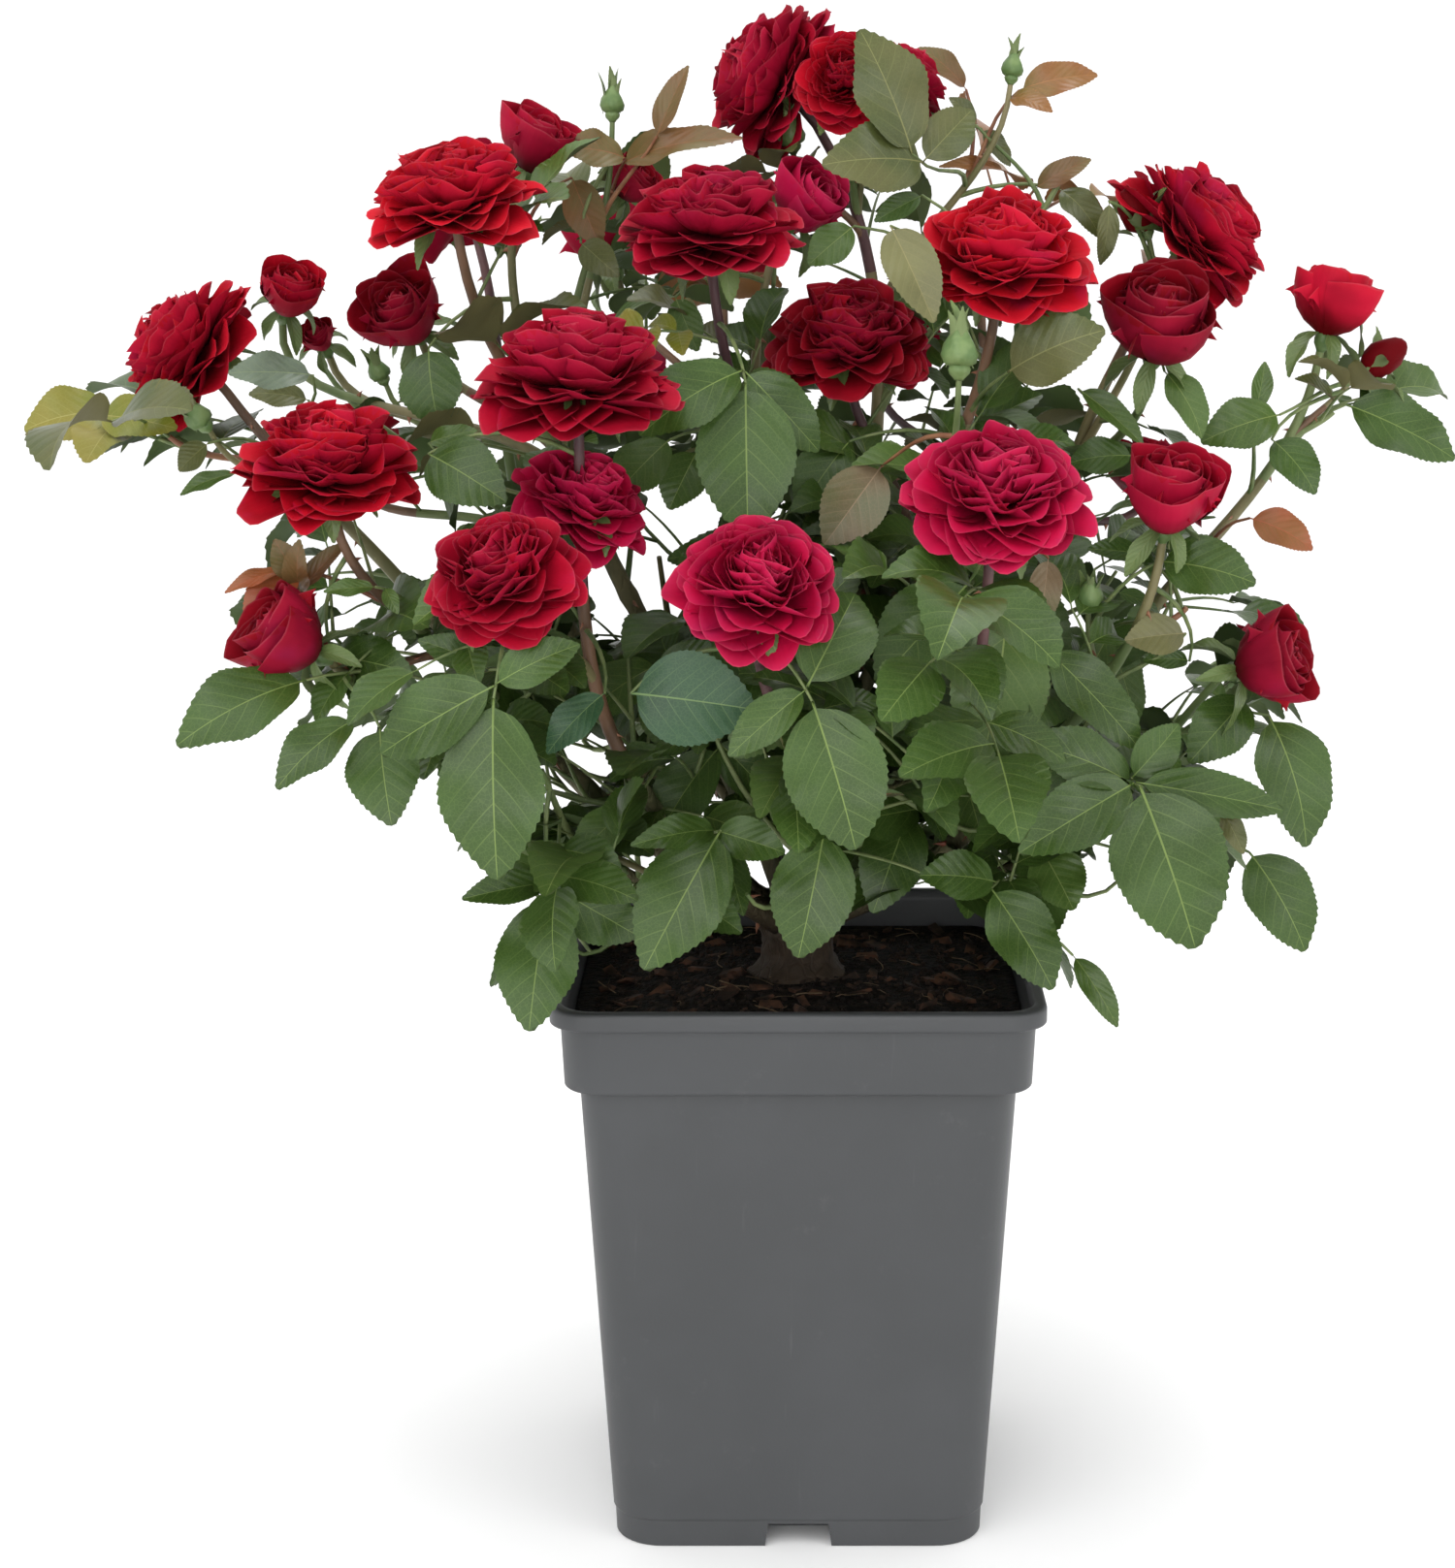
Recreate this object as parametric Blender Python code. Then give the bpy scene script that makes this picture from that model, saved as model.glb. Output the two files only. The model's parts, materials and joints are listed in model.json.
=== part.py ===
"""Rose bush in its square nursery pot, full size, as separate named solids.

The pot stands on its flat underside at z = 0 with its axis on Z.  A short stock
sits on the compost; canes rise from the stock, side shoots fork off the canes,
and each cane or side shoot carries one mass of stalks, leaves and flowers that
keeps to its own space.  Lengths are metres, angles are degrees.
"""
import math
import random

import bmesh
import bpy
from mathutils import Vector
from mathutils.bvhtree import BVHTree
from mathutils.kdtree import KDTree

# ---------------------------------------------------------------- pot and soil
GAP = 0.0003                 # clearance between touching solids
POT_HEIGHT = 0.240
LIP_WIDTH = 0.200
LIP_HEIGHT = 0.008
BAND_TOP_WIDTH = 0.192       # collar under the lip
BAND_FOOT_WIDTH = 0.1895
BAND_FOOT_Z = 0.204
BODY_TOP_WIDTH = 0.178
BODY_FOOT_WIDTH = 0.1568
FOOT_WIDTH = 0.1545
FOOT_HEIGHT = 0.0118
FLOOR_TOP = 0.015
WALL = 0.0022
LIP_CORNER = 0.016           # corner radius in plan, at the lip and at the foot
FOOT_CORNER = 0.020
NOTCH_WIDTH = 0.028          # drainage notch in the middle of each side
NOTCH_HEIGHT = 0.0105
NOTCH_DEPTH = 0.020
CORNER_STEPS = 3

SOIL_EDGE_Z = 0.2235
SOIL_TOP_Z = 0.229
SOIL_MOUND_RADIUS = 0.060

# ----------------------------------------------------------------------- stock
STOCK_RADIUS = 0.016
STOCK_FLARE = 0.0215
STOCK_CENTRE_Z = SOIL_TOP_Z + GAP + 0.018
STOCK_SIDES = 10

# ---------------------------------------------------------- canes and shoots
# name, what it grows from, where it starts, tip, radius at start, radius at tip.
# On the stock the start is (turn, tilt up); on a cane it is the share of its length.
LIMBS = (
    ("cane_left", "stock", (190, 30), (-0.150, -0.020, 0.385), 0.0044, 0.0028),
    ("cane_front_left", "stock", (233, 26), (-0.066, -0.084, 0.335), 0.0044, 0.0028),
    ("cane_front", "stock", (276, 28), (0.004, -0.090, 0.315), 0.0040, 0.0026),
    ("cane_front_right", "stock", (320, 26), (0.105, -0.064, 0.345), 0.0044, 0.0028),
    ("cane_right", "stock", (4, 30), (0.142, 0.002, 0.378), 0.0044, 0.0028),
    ("cane_back_right", "stock", (50, 28), (0.092, 0.086, 0.390), 0.0042, 0.0026),
    ("cane_back", "stock", (97, 28), (-0.050, 0.096, 0.315), 0.0040, 0.0026),
    ("cane_back_left", "stock", (143, 28), (-0.112, 0.086, 0.385), 0.0042, 0.0026),
    ("cane_mid_left", "stock", (150, 66), (-0.088, 0.012, 0.425), 0.0046, 0.0030),
    ("cane_mid", "stock", (28, 66), (0.028, 0.030, 0.415), 0.0046, 0.0030),
    ("cane_mid_right", "stock", (272, 66), (0.042, -0.030, 0.400), 0.0044, 0.0028),
    ("shoot_left_front", "cane_left", 0.55, (-0.120, -0.066, 0.360), 0.0028, 0.0024),
    ("shoot_low_left", "cane_front_left", 0.30, (-0.070, -0.050, 0.285), 0.0026, 0.0023),
    ("shoot_centre_top", "cane_mid_left", 0.50, (-0.020, -0.018, 0.415), 0.0030, 0.0026),
    ("shoot_back_centre", "cane_mid", 0.45, (-0.020, 0.080, 0.400), 0.0030, 0.0026),
    ("shoot_front_right", "cane_mid_right", 0.35, (0.052, -0.085, 0.335), 0.0028, 0.0024),
    ("shoot_right_top", "cane_right", 0.50, (0.105, 0.022, 0.410), 0.0030, 0.0026),
    ("shoot_low_right", "cane_front_right", 0.35, (0.095, -0.030, 0.285), 0.0028, 0.0024),
    ("shoot_back_low", "cane_back_right", 0.35, (0.050, 0.092, 0.305), 0.0026, 0.0023),
)

# Each mass of foliage and the limb that carries it.
MASSES = (
    ("left_tip", "cane_left"),
    ("left_top", "cane_mid_left"),
    ("left_front", "shoot_left_front"),
    ("front_left", "cane_front_left"),
    ("low_left", "shoot_low_left"),
    ("centre_top", "shoot_centre_top"),
    ("crown_top", "cane_mid"),
    ("centre_high", "cane_mid_right"),
    ("front_centre", "cane_front"),
    ("front_right", "shoot_front_right"),
    ("right_top", "shoot_right_top"),
    ("right_tip", "cane_right"),
    ("right_front", "cane_front_right"),
    ("low_right", "shoot_low_right"),
    ("back_left", "cane_back_left"),
    ("back_centre", "shoot_back_centre"),
    ("back_right", "cane_back_right"),
    ("back_low_left", "cane_back"),
    ("back_low_right", "shoot_back_low"),
)

# Stalks: mass, end of the stalk, width across, turn and tilt that it faces, form.
STALKS = (
    ("left_tip", (-0.249, -0.020, 0.495), 0.076, 195, 36, "full"),
    ("left_tip", (-0.238, -0.050, 0.472), 0.014, 215, 50, "bud"),
    ("left_tip", (-0.252, -0.036, 0.462), 0.000, 185, 10, "leafy"),
    ("left_top", (-0.135, -0.060, 0.560), 0.074, 240, 72, "full"),
    ("left_top", (-0.108, 0.004, 0.571), 0.036, 330, 60, "cup"),
    ("left_top", (-0.159, 0.000, 0.505), 0.042, 250, 40, "cup"),
    ("left_top", (-0.212, 0.022, 0.511), 0.031, 300, 55, "cup"),
    ("left_top", (-0.201, 0.046, 0.491), 0.018, 250, 45, "cup"),
    ("left_top", (-0.072, 0.030, 0.556), 0.026, 330, 40, "cup"),
    ("left_top", (-0.076, 0.020, 0.592), 0.013, 90, 80, "bud"),
    ("left_top", (-0.176, 0.030, 0.482), 0.012, 220, 60, "bud"),
    ("left_front", (-0.176, -0.120, 0.463), 0.077, 268, 76, "full"),
    ("left_front", (-0.190, -0.120, 0.394), 0.044, 205, 35, "cup"),
    ("front_left", (-0.082, -0.130, 0.498), 0.083, 266, 79, "full"),
    ("front_left", (-0.108, -0.172, 0.429), 0.065, 250, 52, "full"),
    ("front_left", (-0.080, -0.118, 0.449), 0.061, 315, 62, "full"),
    ("low_left", (-0.098, -0.125, 0.345), 0.000, 235, 40, "leafy"),
    ("low_left", (-0.086, -0.112, 0.292), 0.000, 235, 10, "leafy"),
    ("low_left", (-0.030, -0.122, 0.300), 0.000, 275, 15, "leafy"),
    ("low_left", (-0.042, -0.062, 0.372), 0.000, 80, 70, "leafy"),
    ("centre_top", (-0.034, -0.070, 0.550), 0.077, 262, 75, "full"),
    ("centre_top", (0.001, -0.014, 0.550), 0.037, 320, 40, "cup"),
    ("crown_top", (-0.014, 0.030, 0.601), 0.078, 195, 26, "full"),
    ("crown_top", (0.019, -0.004, 0.602), 0.049, 262, 30, "full"),
    ("crown_top", (0.044, 0.030, 0.602), 0.050, 20, 50, "full"),
    ("crown_top", (-0.003, 0.016, 0.580), 0.015, 250, 70, "bud"),
    ("crown_top", (0.088, 0.030, 0.606), 0.012, 60, 75, "bud"),
    ("crown_top", (0.108, 0.028, 0.560), 0.000, 10, 45, "leafy"),
    ("centre_high", (0.078, -0.080, 0.538), 0.079, 280, 64, "full"),
    ("centre_high", (0.020, -0.050, 0.503), 0.071, 270, 60, "full"),
    ("centre_high", (0.060, -0.122, 0.504), 0.018, 80, 80, "bud"),
    ("front_centre", (-0.014, -0.170, 0.426), 0.069, 280, 50, "full"),
    ("front_right", (0.073, -0.160, 0.458), 0.075, 280, 55, "full"),
    ("right_top", (0.164, 0.000, 0.543), 0.079, 345, 44, "full"),
    ("right_top", (0.141, -0.050, 0.505), 0.053, 275, 57, "cup"),
    ("right_top", (0.138, -0.004, 0.546), 0.015, 200, 60, "bud"),
    ("right_tip", (0.217, 0.000, 0.507), 0.041, 10, 76, "cup"),
    ("right_tip", (0.236, 0.000, 0.488), 0.016, 350, 35, "bud"),
    ("right_tip", (0.220, 0.000, 0.468), 0.000, 355, 15, "leafy"),
    ("right_front", (0.142, -0.100, 0.443), 0.045, 285, 66, "cup"),
    ("right_front", (0.114, -0.080, 0.405), 0.014, 270, 60, "bud"),
    ("right_front", (0.152, -0.080, 0.400), 0.000, 320, 20, "leafy"),
    ("low_right", (0.181, -0.078, 0.377), 0.044, 335, 20, "cup"),
    ("low_right", (0.128, -0.118, 0.335), 0.000, 310, 20, "leafy"),
    ("low_right", (0.165, -0.064, 0.310), 0.000, 335, 5, "leafy"),
    ("low_right", (0.082, -0.104, 0.290), 0.000, 290, 10, "leafy"),
    ("low_right", (0.094, -0.020, 0.372), 0.000, 80, 70, "leafy"),
    ("low_right", (0.036, -0.040, 0.330), 0.000, 180, 40, "leafy"),
    ("back_left", (-0.150, 0.100, 0.553), 0.064, 140, 45, "full"),
    ("back_left", (-0.212, 0.116, 0.436), 0.070, 160, 40, "full"),
    ("back_left", (-0.098, 0.192, 0.470), 0.076, 115, 45, "full"),
    ("back_left", (-0.205, 0.070, 0.480), 0.000, 165, 35, "leafy"),
    ("back_centre", (-0.035, 0.140, 0.540), 0.072, 95, 50, "full"),
    ("back_centre", (-0.086, 0.160, 0.524), 0.044, 125, 60, "cup"),
    ("back_centre", (0.014, 0.140, 0.462), 0.000, 80, 30, "leafy"),
    ("back_right", (0.085, 0.132, 0.520), 0.070, 70, 52, "full"),
    ("back_right", (0.165, 0.125, 0.424), 0.058, 30, 40, "full"),
    ("back_right", (0.036, 0.208, 0.482), 0.070, 85, 45, "full"),
    ("back_low_left", (-0.030, 0.204, 0.366), 0.066, 100, 35, "full"),
    ("back_low_left", (-0.134, 0.180, 0.374), 0.064, 130, 35, "full"),
    ("back_low_left", (-0.100, 0.140, 0.300), 0.000, 130, 10, "leafy"),
    ("back_low_left", (-0.150, 0.050, 0.330), 0.000, 170, 20, "leafy"),
    ("back_low_left", (-0.060, 0.050, 0.400), 0.000, 250, 60, "leafy"),
    ("back_low_right", (0.090, 0.198, 0.406), 0.074, 65, 40, "full"),
    ("back_low_right", (0.207, 0.120, 0.338), 0.044, 30, 25, "cup"),
    ("back_low_right", (0.060, 0.150, 0.295), 0.000, 75, 10, "leafy"),
    ("back_low_right", (0.150, 0.064, 0.325), 0.000, 20, 15, "leafy"),
    ("back_low_right", (0.020, 0.040, 0.350), 0.000, 220, 50, "leafy"),
)

# Large leaves that shape the front: mass, where the leaflets meet, and each leaflet's
# tip and its width over its length.
FANS = (
    ("left_tip", (-0.275, -0.030, 0.471), ((-0.309, -0.040, 0.465, 0.72), (-0.280, -0.060, 0.452, 0.68))),
    ("left_tip", (-0.278, -0.040, 0.471), ((-0.244, -0.060, 0.468, 0.48),)),
    ("left_tip", (-0.190, -0.060, 0.489), ((-0.221, -0.072, 0.491, 0.46),)),
    ("left_top", (-0.070, 0.010, 0.570), ((-0.096, 0.000, 0.574, 0.60), (-0.021, -0.006, 0.577, 0.26))),
    ("left_top", (-0.093, 0.020, 0.562), ((-0.081, 0.010, 0.534, 0.52),)),
    ("left_top", (-0.149, -0.020, 0.496), ((-0.144, -0.030, 0.464, 0.76),)),
    ("left_front", (-0.186, -0.130, 0.381), ((-0.232, -0.150, 0.360, 0.52),)),
    ("left_front", (-0.156, -0.150, 0.367), ((-0.150, -0.170, 0.334, 0.70),)),
    ("left_front", (-0.197, -0.100, 0.418), ((-0.219, -0.110, 0.411, 0.26), (-0.211, -0.110, 0.398, 0.60))),
    ("left_front", (-0.180, -0.100, 0.385), ((-0.147, -0.120, 0.382, 0.54),)),
    ("front_left", (-0.110, -0.185, 0.385),
     ((-0.109, -0.195, 0.320, 0.58), (-0.151, -0.175, 0.362, 0.54), (-0.079, -0.175, 0.401, 0.50))),
    ("front_left", (-0.072, -0.150, 0.380), ((-0.093, -0.160, 0.359, 0.48),)),
    ("front_left", (-0.141, -0.100, 0.463), ((-0.110, -0.118, 0.447, 0.68),)),
    ("low_left", (-0.097, -0.122, 0.294),
     ((-0.103, -0.145, 0.247, 0.60), (-0.129, -0.140, 0.297, 0.37), (-0.064, -0.112, 0.276, 0.58))),
    ("low_left", (-0.030, -0.120, 0.320),
     ((-0.059, -0.140, 0.270, 0.56), (-0.065, -0.140, 0.318, 0.34), (-0.005, -0.120, 0.310, 0.60))),
    ("low_left", (-0.065, -0.100, 0.325), ((-0.088, -0.110, 0.305, 0.52),)),
    ("centre_top", (-0.020, -0.100, 0.490),
     ((-0.019, -0.120, 0.433, 0.62), (-0.060, -0.110, 0.470, 0.55), (0.006, -0.090, 0.463, 0.52))),
    ("centre_top", (-0.050, -0.070, 0.465), ((-0.072, -0.080, 0.443, 0.66),)),
    ("crown_top", (0.045, -0.030, 0.573),
     ((0.024, -0.030, 0.621, 0.60), (0.008, -0.045, 0.568, 0.62), (0.068, -0.010, 0.587, 0.64))),
    ("crown_top", (0.091, 0.030, 0.597), ((0.123, 0.030, 0.603, 0.46), (0.104, 0.020, 0.586, 0.52))),
    ("crown_top", (0.070, 0.050, 0.597), ((0.050, 0.050, 0.614, 0.42),)),
    ("crown_top", (0.098, 0.030, 0.557), ((0.121, 0.030, 0.569, 0.40),)),
    ("centre_high", (0.035, -0.085, 0.548), ((0.051, -0.105, 0.513, 0.48),)),
    ("centre_high", (0.080, -0.090, 0.493), ((0.116, -0.100, 0.510, 0.70),)),
    ("centre_high", (0.020, -0.060, 0.463), ((0.000, -0.070, 0.436, 0.66),)),
    ("centre_high", (0.032, -0.090, 0.457), ((0.010, -0.100, 0.428, 0.66),)),
    ("front_centre", (0.005, -0.175, 0.382),
     ((0.021, -0.182, 0.328, 0.66), (-0.025, -0.180, 0.362, 0.44), (0.020, -0.140, 0.412, 0.66))),
    ("front_centre", (0.010, -0.120, 0.320), ((-0.000, -0.130, 0.272, 0.64),)),
    ("front_centre", (-0.062, -0.155, 0.381), ((-0.015, -0.162, 0.376, 0.74),)),
    ("front_right", (0.065, -0.110, 0.415), ((0.030, -0.122, 0.378, 0.66),)),
    ("front_right", (0.080, -0.100, 0.400), ((0.070, -0.112, 0.343, 0.66),)),
    ("front_right", (0.096, -0.100, 0.423), ((0.092, -0.110, 0.397, 0.46),)),
    ("right_tip", (0.225, 0.000, 0.471), ((0.270, -0.004, 0.449, 0.57),)),
    ("right_tip", (0.192, -0.020, 0.459), ((0.209, -0.030, 0.438, 0.68),)),
    ("right_tip", (0.183, -0.028, 0.428), ((0.208, -0.034, 0.416, 0.60),)),
    ("right_front", (0.140, -0.090, 0.420), ((0.176, -0.100, 0.413, 0.66),)),
    ("low_right", (0.187, -0.070, 0.355), ((0.202, -0.082, 0.304, 0.60),)),
    ("right_front", (0.152, -0.080, 0.390), ((0.127, -0.090, 0.389, 0.62),)),
    ("low_right", (0.130, -0.130, 0.340),
     ((0.151, -0.145, 0.280, 0.70), (0.083, -0.142, 0.316, 0.48), (0.185, -0.112, 0.325, 0.30))),
    ("low_right", (0.096, -0.100, 0.387), ((0.132, -0.112, 0.350, 0.43),)),
    ("low_right", (0.181, -0.070, 0.299), ((0.203, -0.082, 0.261, 0.63),)),
    ("low_right", (0.075, -0.112, 0.295), ((0.099, -0.122, 0.257, 0.60), (0.046, -0.114, 0.300, 0.62))),
    ("low_right", (0.111, -0.070, 0.256), ((0.129, -0.078, 0.228, 0.34),)),
    ("low_right", (0.096, -0.090, 0.305), ((0.108, -0.104, 0.284, 0.84),)),
    ("left_front", (-0.165, -0.150, 0.370), ((-0.192, -0.170, 0.348, 0.48),)),
    ("left_front", (-0.192, -0.100, 0.415),
     ((-0.200, -0.105, 0.431, 0.68), (-0.188, -0.110, 0.433, 0.46), (-0.172, -0.095, 0.426, 0.34))),
    ("front_left", (-0.115, -0.150, 0.389), ((-0.141, -0.150, 0.400, 0.44),)),
    ("front_left", (-0.142, -0.090, 0.466), ((-0.122, -0.100, 0.472, 0.36),)),
    ("low_right", (0.128, -0.120, 0.341), ((0.146, -0.115, 0.361, 0.60), (0.081, -0.125, 0.356, 0.42))),
    ("right_tip", (0.195, -0.020, 0.469), ((0.162, -0.030, 0.459, 0.60),)),
    ("low_right", (0.178, -0.070, 0.362), ((0.154, -0.085, 0.339, 0.64),)),
    ("left_tip", (-0.234, -0.050, 0.461), ((-0.246, -0.050, 0.450, 0.74),)),
    ("left_tip", (-0.223, -0.050, 0.449), ((-0.245, -0.055, 0.441, 0.30),)),
    ("left_tip", (-0.195, -0.040, 0.477), ((-0.218, -0.045, 0.480, 0.50),)),
    ("left_top", (-0.089, 0.010, 0.536), ((-0.073, 0.000, 0.523, 0.60),)),
    ("crown_top", (0.073, 0.030, 0.583), ((0.062, 0.030, 0.594, 0.52),)),
    ("crown_top", (0.108, 0.030, 0.557), ((0.125, 0.020, 0.537, 0.58),)),
    ("crown_top", (0.076, 0.035, 0.581), ((0.088, 0.035, 0.566, 0.50),)),
    ("crown_top", (0.086, 0.040, 0.564), ((0.058, 0.030, 0.566, 0.20),)),
    ("centre_high", (0.022, -0.030, 0.545), ((0.004, -0.035, 0.530, 0.66),)),
    ("centre_high", (0.049, -0.030, 0.557), ((0.030, -0.035, 0.547, 0.46),)),
    ("low_right", (0.163, -0.120, 0.328), ((0.171, -0.125, 0.312, 0.50),)),
    ("left_top", (-0.057, 0.000, 0.579), ((-0.044, 0.000, 0.607, 0.34),)),
    ("right_tip", (0.185, -0.020, 0.470), ((0.189, -0.015, 0.490, 0.42),)),
    ("right_top", (0.145, -0.045, 0.489), ((0.160, -0.050, 0.463, 0.55),)),
    ("right_top", (0.133, -0.050, 0.456), ((0.107, -0.050, 0.453, 0.60),)),
    ("right_top", (0.111, -0.045, 0.482), ((0.137, -0.050, 0.460, 0.34),)),
    ("centre_top", (-0.040, -0.050, 0.458), ((-0.051, -0.060, 0.436, 0.75),)),
    ("centre_top", (-0.049, -0.030, 0.517), ((-0.040, -0.035, 0.496, 0.60),)),
    ("centre_top", (-0.012, 0.000, 0.506), ((-0.016, 0.000, 0.483, 0.42),)),
    ("left_front", (-0.160, -0.120, 0.415), ((-0.179, -0.125, 0.414, 0.36), (-0.151, -0.120, 0.404, 0.50))),
    ("right_front", (0.155, -0.070, 0.377), ((0.136, -0.075, 0.378, 0.48),)),
    ("right_front", (0.137, -0.060, 0.418), ((0.114, -0.065, 0.421, 0.42),)),
    ("right_top", (0.124, -0.020, 0.554), ((0.121, -0.020, 0.529, 0.36),)),
    ("low_left", (-0.056, -0.050, 0.372),
     ((-0.088, -0.060, 0.350, 0.55), (-0.050, -0.062, 0.336, 0.50), (-0.026, -0.050, 0.376, 0.50))),
    ("low_left", (-0.032, -0.062, 0.340), ((-0.056, -0.072, 0.305, 0.55), (-0.006, -0.062, 0.314, 0.50))),
    ("low_left", (-0.030, -0.060, 0.300), ((-0.022, -0.076, 0.274, 0.46), (-0.048, -0.062, 0.268, 0.55))),
    ("front_centre", (-0.001, -0.090, 0.376), ((-0.025, -0.100, 0.344, 0.66),)),
    ("centre_high", (0.079, -0.045, 0.400),
     ((0.089, -0.060, 0.349, 0.50), (0.108, -0.050, 0.372, 0.66), (0.050, -0.045, 0.380, 0.66))),
    ("right_front", (0.124, -0.040, 0.382), ((0.136, -0.050, 0.345, 0.42), (0.106, -0.050, 0.352, 0.42))),
    ("low_right", (0.068, -0.050, 0.330), ((0.104, -0.060, 0.329, 0.52), (0.074, -0.062, 0.298, 0.62))),
    ("low_right", (0.045, -0.052, 0.311), ((0.030, -0.072, 0.274, 0.60), (0.014, -0.070, 0.309, 0.50))),
)

# The crown's greatest reach from the pot's axis at each height.
CROWN_REACH = (
    (0.235, 0.150), (0.270, 0.205), (0.310, 0.235), (0.360, 0.262), (0.420, 0.270),
    (0.465, 0.312), (0.500, 0.285), (0.545, 0.215), (0.575, 0.165), (0.600, 0.125), (0.634, 0.070),
)

# Clear sky between the sprays, and clear compost, as they are seen from the front at the
# eye's place: x and z where the line of sight crosses the plane of the pot's axis, radius.
EYE = (0.0, -1.325, 0.614)
SKY = (
    (-0.185, 0.550, 0.032), (-0.225, 0.555, 0.030), (-0.120, 0.597, 0.020), (-0.060, 0.592, 0.010),
    (-0.172, 0.492, 0.016), (-0.137, 0.522, 0.012), (-0.118, 0.512, 0.008), (-0.136, 0.478, 0.008),
    (-0.163, 0.412, 0.014), (-0.182, 0.408, 0.010), (-0.238, 0.412, 0.020), (-0.188, 0.386, 0.008),
    (-0.060, 0.392, 0.010), (-0.054, 0.432, 0.010), (-0.194, 0.326, 0.008),
    (-0.155, 0.300, 0.012), (-0.190, 0.272, 0.045), (-0.235, 0.300, 0.030), (-0.155, 0.258, 0.022),
    (-0.087, 0.322, 0.008), (-0.045, 0.307, 0.005), (-0.062, 0.268, 0.008),
    (0.077, 0.612, 0.010), (0.110, 0.588, 0.010), (0.135, 0.590, 0.020), (0.121, 0.571, 0.006),
    (0.127, 0.532, 0.010), (0.185, 0.505, 0.016), (0.190, 0.488, 0.012), (0.180, 0.473, 0.008),
    (0.136, 0.484, 0.006), (0.227, 0.451, 0.010), (0.250, 0.415, 0.032), (0.188, 0.404, 0.008),
    (0.123, 0.407, 0.005), (0.112, 0.383, 0.005), (0.167, 0.385, 0.009), (0.169, 0.371, 0.008),
    (0.146, 0.350, 0.007), (0.191, 0.287, 0.006), (0.189, 0.264, 0.008),
    (0.130, 0.283, 0.006), (0.128, 0.260, 0.010), (0.075, 0.298, 0.006), (0.032, 0.357, 0.005),
    (0.245, 0.350, 0.032), (0.245, 0.300, 0.036), (0.230, 0.250, 0.030), (0.165, 0.225, 0.025),
    (0.300, 0.465, 0.034), (0.290, 0.505, 0.030),
    (-0.085, 0.228, 0.014), (-0.045, 0.235, 0.010), (-0.010, 0.243, 0.014), (-0.040, 0.210, 0.028),
    (0.020, 0.220, 0.028), (0.055, 0.228, 0.024), (0.085, 0.212, 0.018), (-0.080, 0.202, 0.018),
    (-0.255, 0.365, 0.009), (-0.244, 0.378, 0.010), (-0.234, 0.386, 0.007), (-0.118, 0.458, 0.012),
    (-0.152, 0.425, 0.007), (-0.177, 0.416, 0.008), (-0.197, 0.486, 0.006), (-0.079, 0.392, 0.009),
    (-0.078, 0.379, 0.006), (-0.134, 0.247, 0.007), (-0.099, 0.310, 0.009), (-0.079, 0.331, 0.007),
    (-0.159, 0.359, 0.006), (-0.167, 0.470, 0.006), (0.126, 0.255, 0.015), (0.137, 0.236, 0.009),
    (0.221, 0.398, 0.011), (0.202, 0.406, 0.006), (0.211, 0.429, 0.009), (0.146, 0.469, 0.008),
    (0.185, 0.316, 0.010), (0.125, 0.429, 0.007), (0.009, 0.518, 0.006), (0.118, 0.516, 0.006),
    (0.059, 0.560, 0.008), (0.142, 0.340, 0.006),
    (0.247, 0.499, 0.008), (-0.139, 0.271, 0.007), (-0.098, 0.519, 0.007), (0.122, 0.480, 0.008),
    (-0.081, 0.375, 0.004), (-0.040, 0.423, 0.006), (-0.052, 0.420, 0.006), (0.152, 0.344, 0.005),
    (0.163, 0.340, 0.005), (0.220, 0.401, 0.008), (-0.115, 0.254, 0.005),
)
SKY_MARGIN = 0.008           # how far a leaflet's middle keeps from the sky

# Compound leaves along the stalks.
LEAF_STEP = 0.0285           # between leaves along a stalk
LEAF_STALK = 0.050           # from the stem to the leaflet at the end
PAIR_SHARE = 0.88            # places of the pairs of leaflets along the petiole
LOW_PAIR_SHARE = 0.52
PAIR_ROOT = 0.04             # half the share of the petiole that a leaflet grows from
LEAFLET_LENGTH = 0.045
LEAF_SPREAD = (0.85, 1.2)    # smallest and largest leaf, as shares of the usual one
YOUNG_SIZE = 0.70            # size of the leaves at the crown's top
YOUNG_FROM = 0.43            # height from which the leaves get smaller
LEAFLET_SHAPE = 0.62         # width to length
LEAFLET_THICK = 0.0015       # at the ridge over the broadest place
LEAFLET_BROADEST = 0.42      # share of the length from the base
LEAF_ROOM = 0.0228           # least distance between the middles of leaflets
FLOWER_VIEW = 0.09           # depth in front of a flower where no leaf grows
CELL_SLACK = 0.006           # how far a leaflet may pass the middle between two masses
LEAFLET_TIP_SLACK = 0.008    # and its tip beyond that
LEAF_ATTEMPTS = 8            # turns round the stalk that are tried for each leaf
GOLDEN_TURN = 137.5
CLEAR_OF_POT = 0.004         # beside the lip
LEAF_ABOVE_POT = 0.012       # least height of a leaf over the pot
LEAF_BELOW_LIP = 0.020       # how far a leaf may hang down beside it

LIMB_SIDES = 5
LIMB_RINGS = 6
STALK_RINGS = 5
STALK_SIDES = 3
STALK_TIP_RADIUS = {"full": 0.0017, "cup": 0.0015, "bud": 0.0010, "leafy": 0.0010}
FLOWER_FOOT = {"full": 0.20, "cup": 0.34, "bud": 0.60, "leafy": 0.0}  # stalk's end, in widths
STALK_INTO_FLOWER = 0.004
FORK_ANGLE = 35              # between a leading stalk and one that forks off it
SHOOT_ANGLE = 42             # least angle between a cane and its side shoot
PETIOLE_RADIUS = 0.0012
FAN_REACH = 0.042            # usual length of a large leaf's petiole
TEST_MARGIN = 0.0005         # how much a piece is swollen before it is tested for touching


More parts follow.
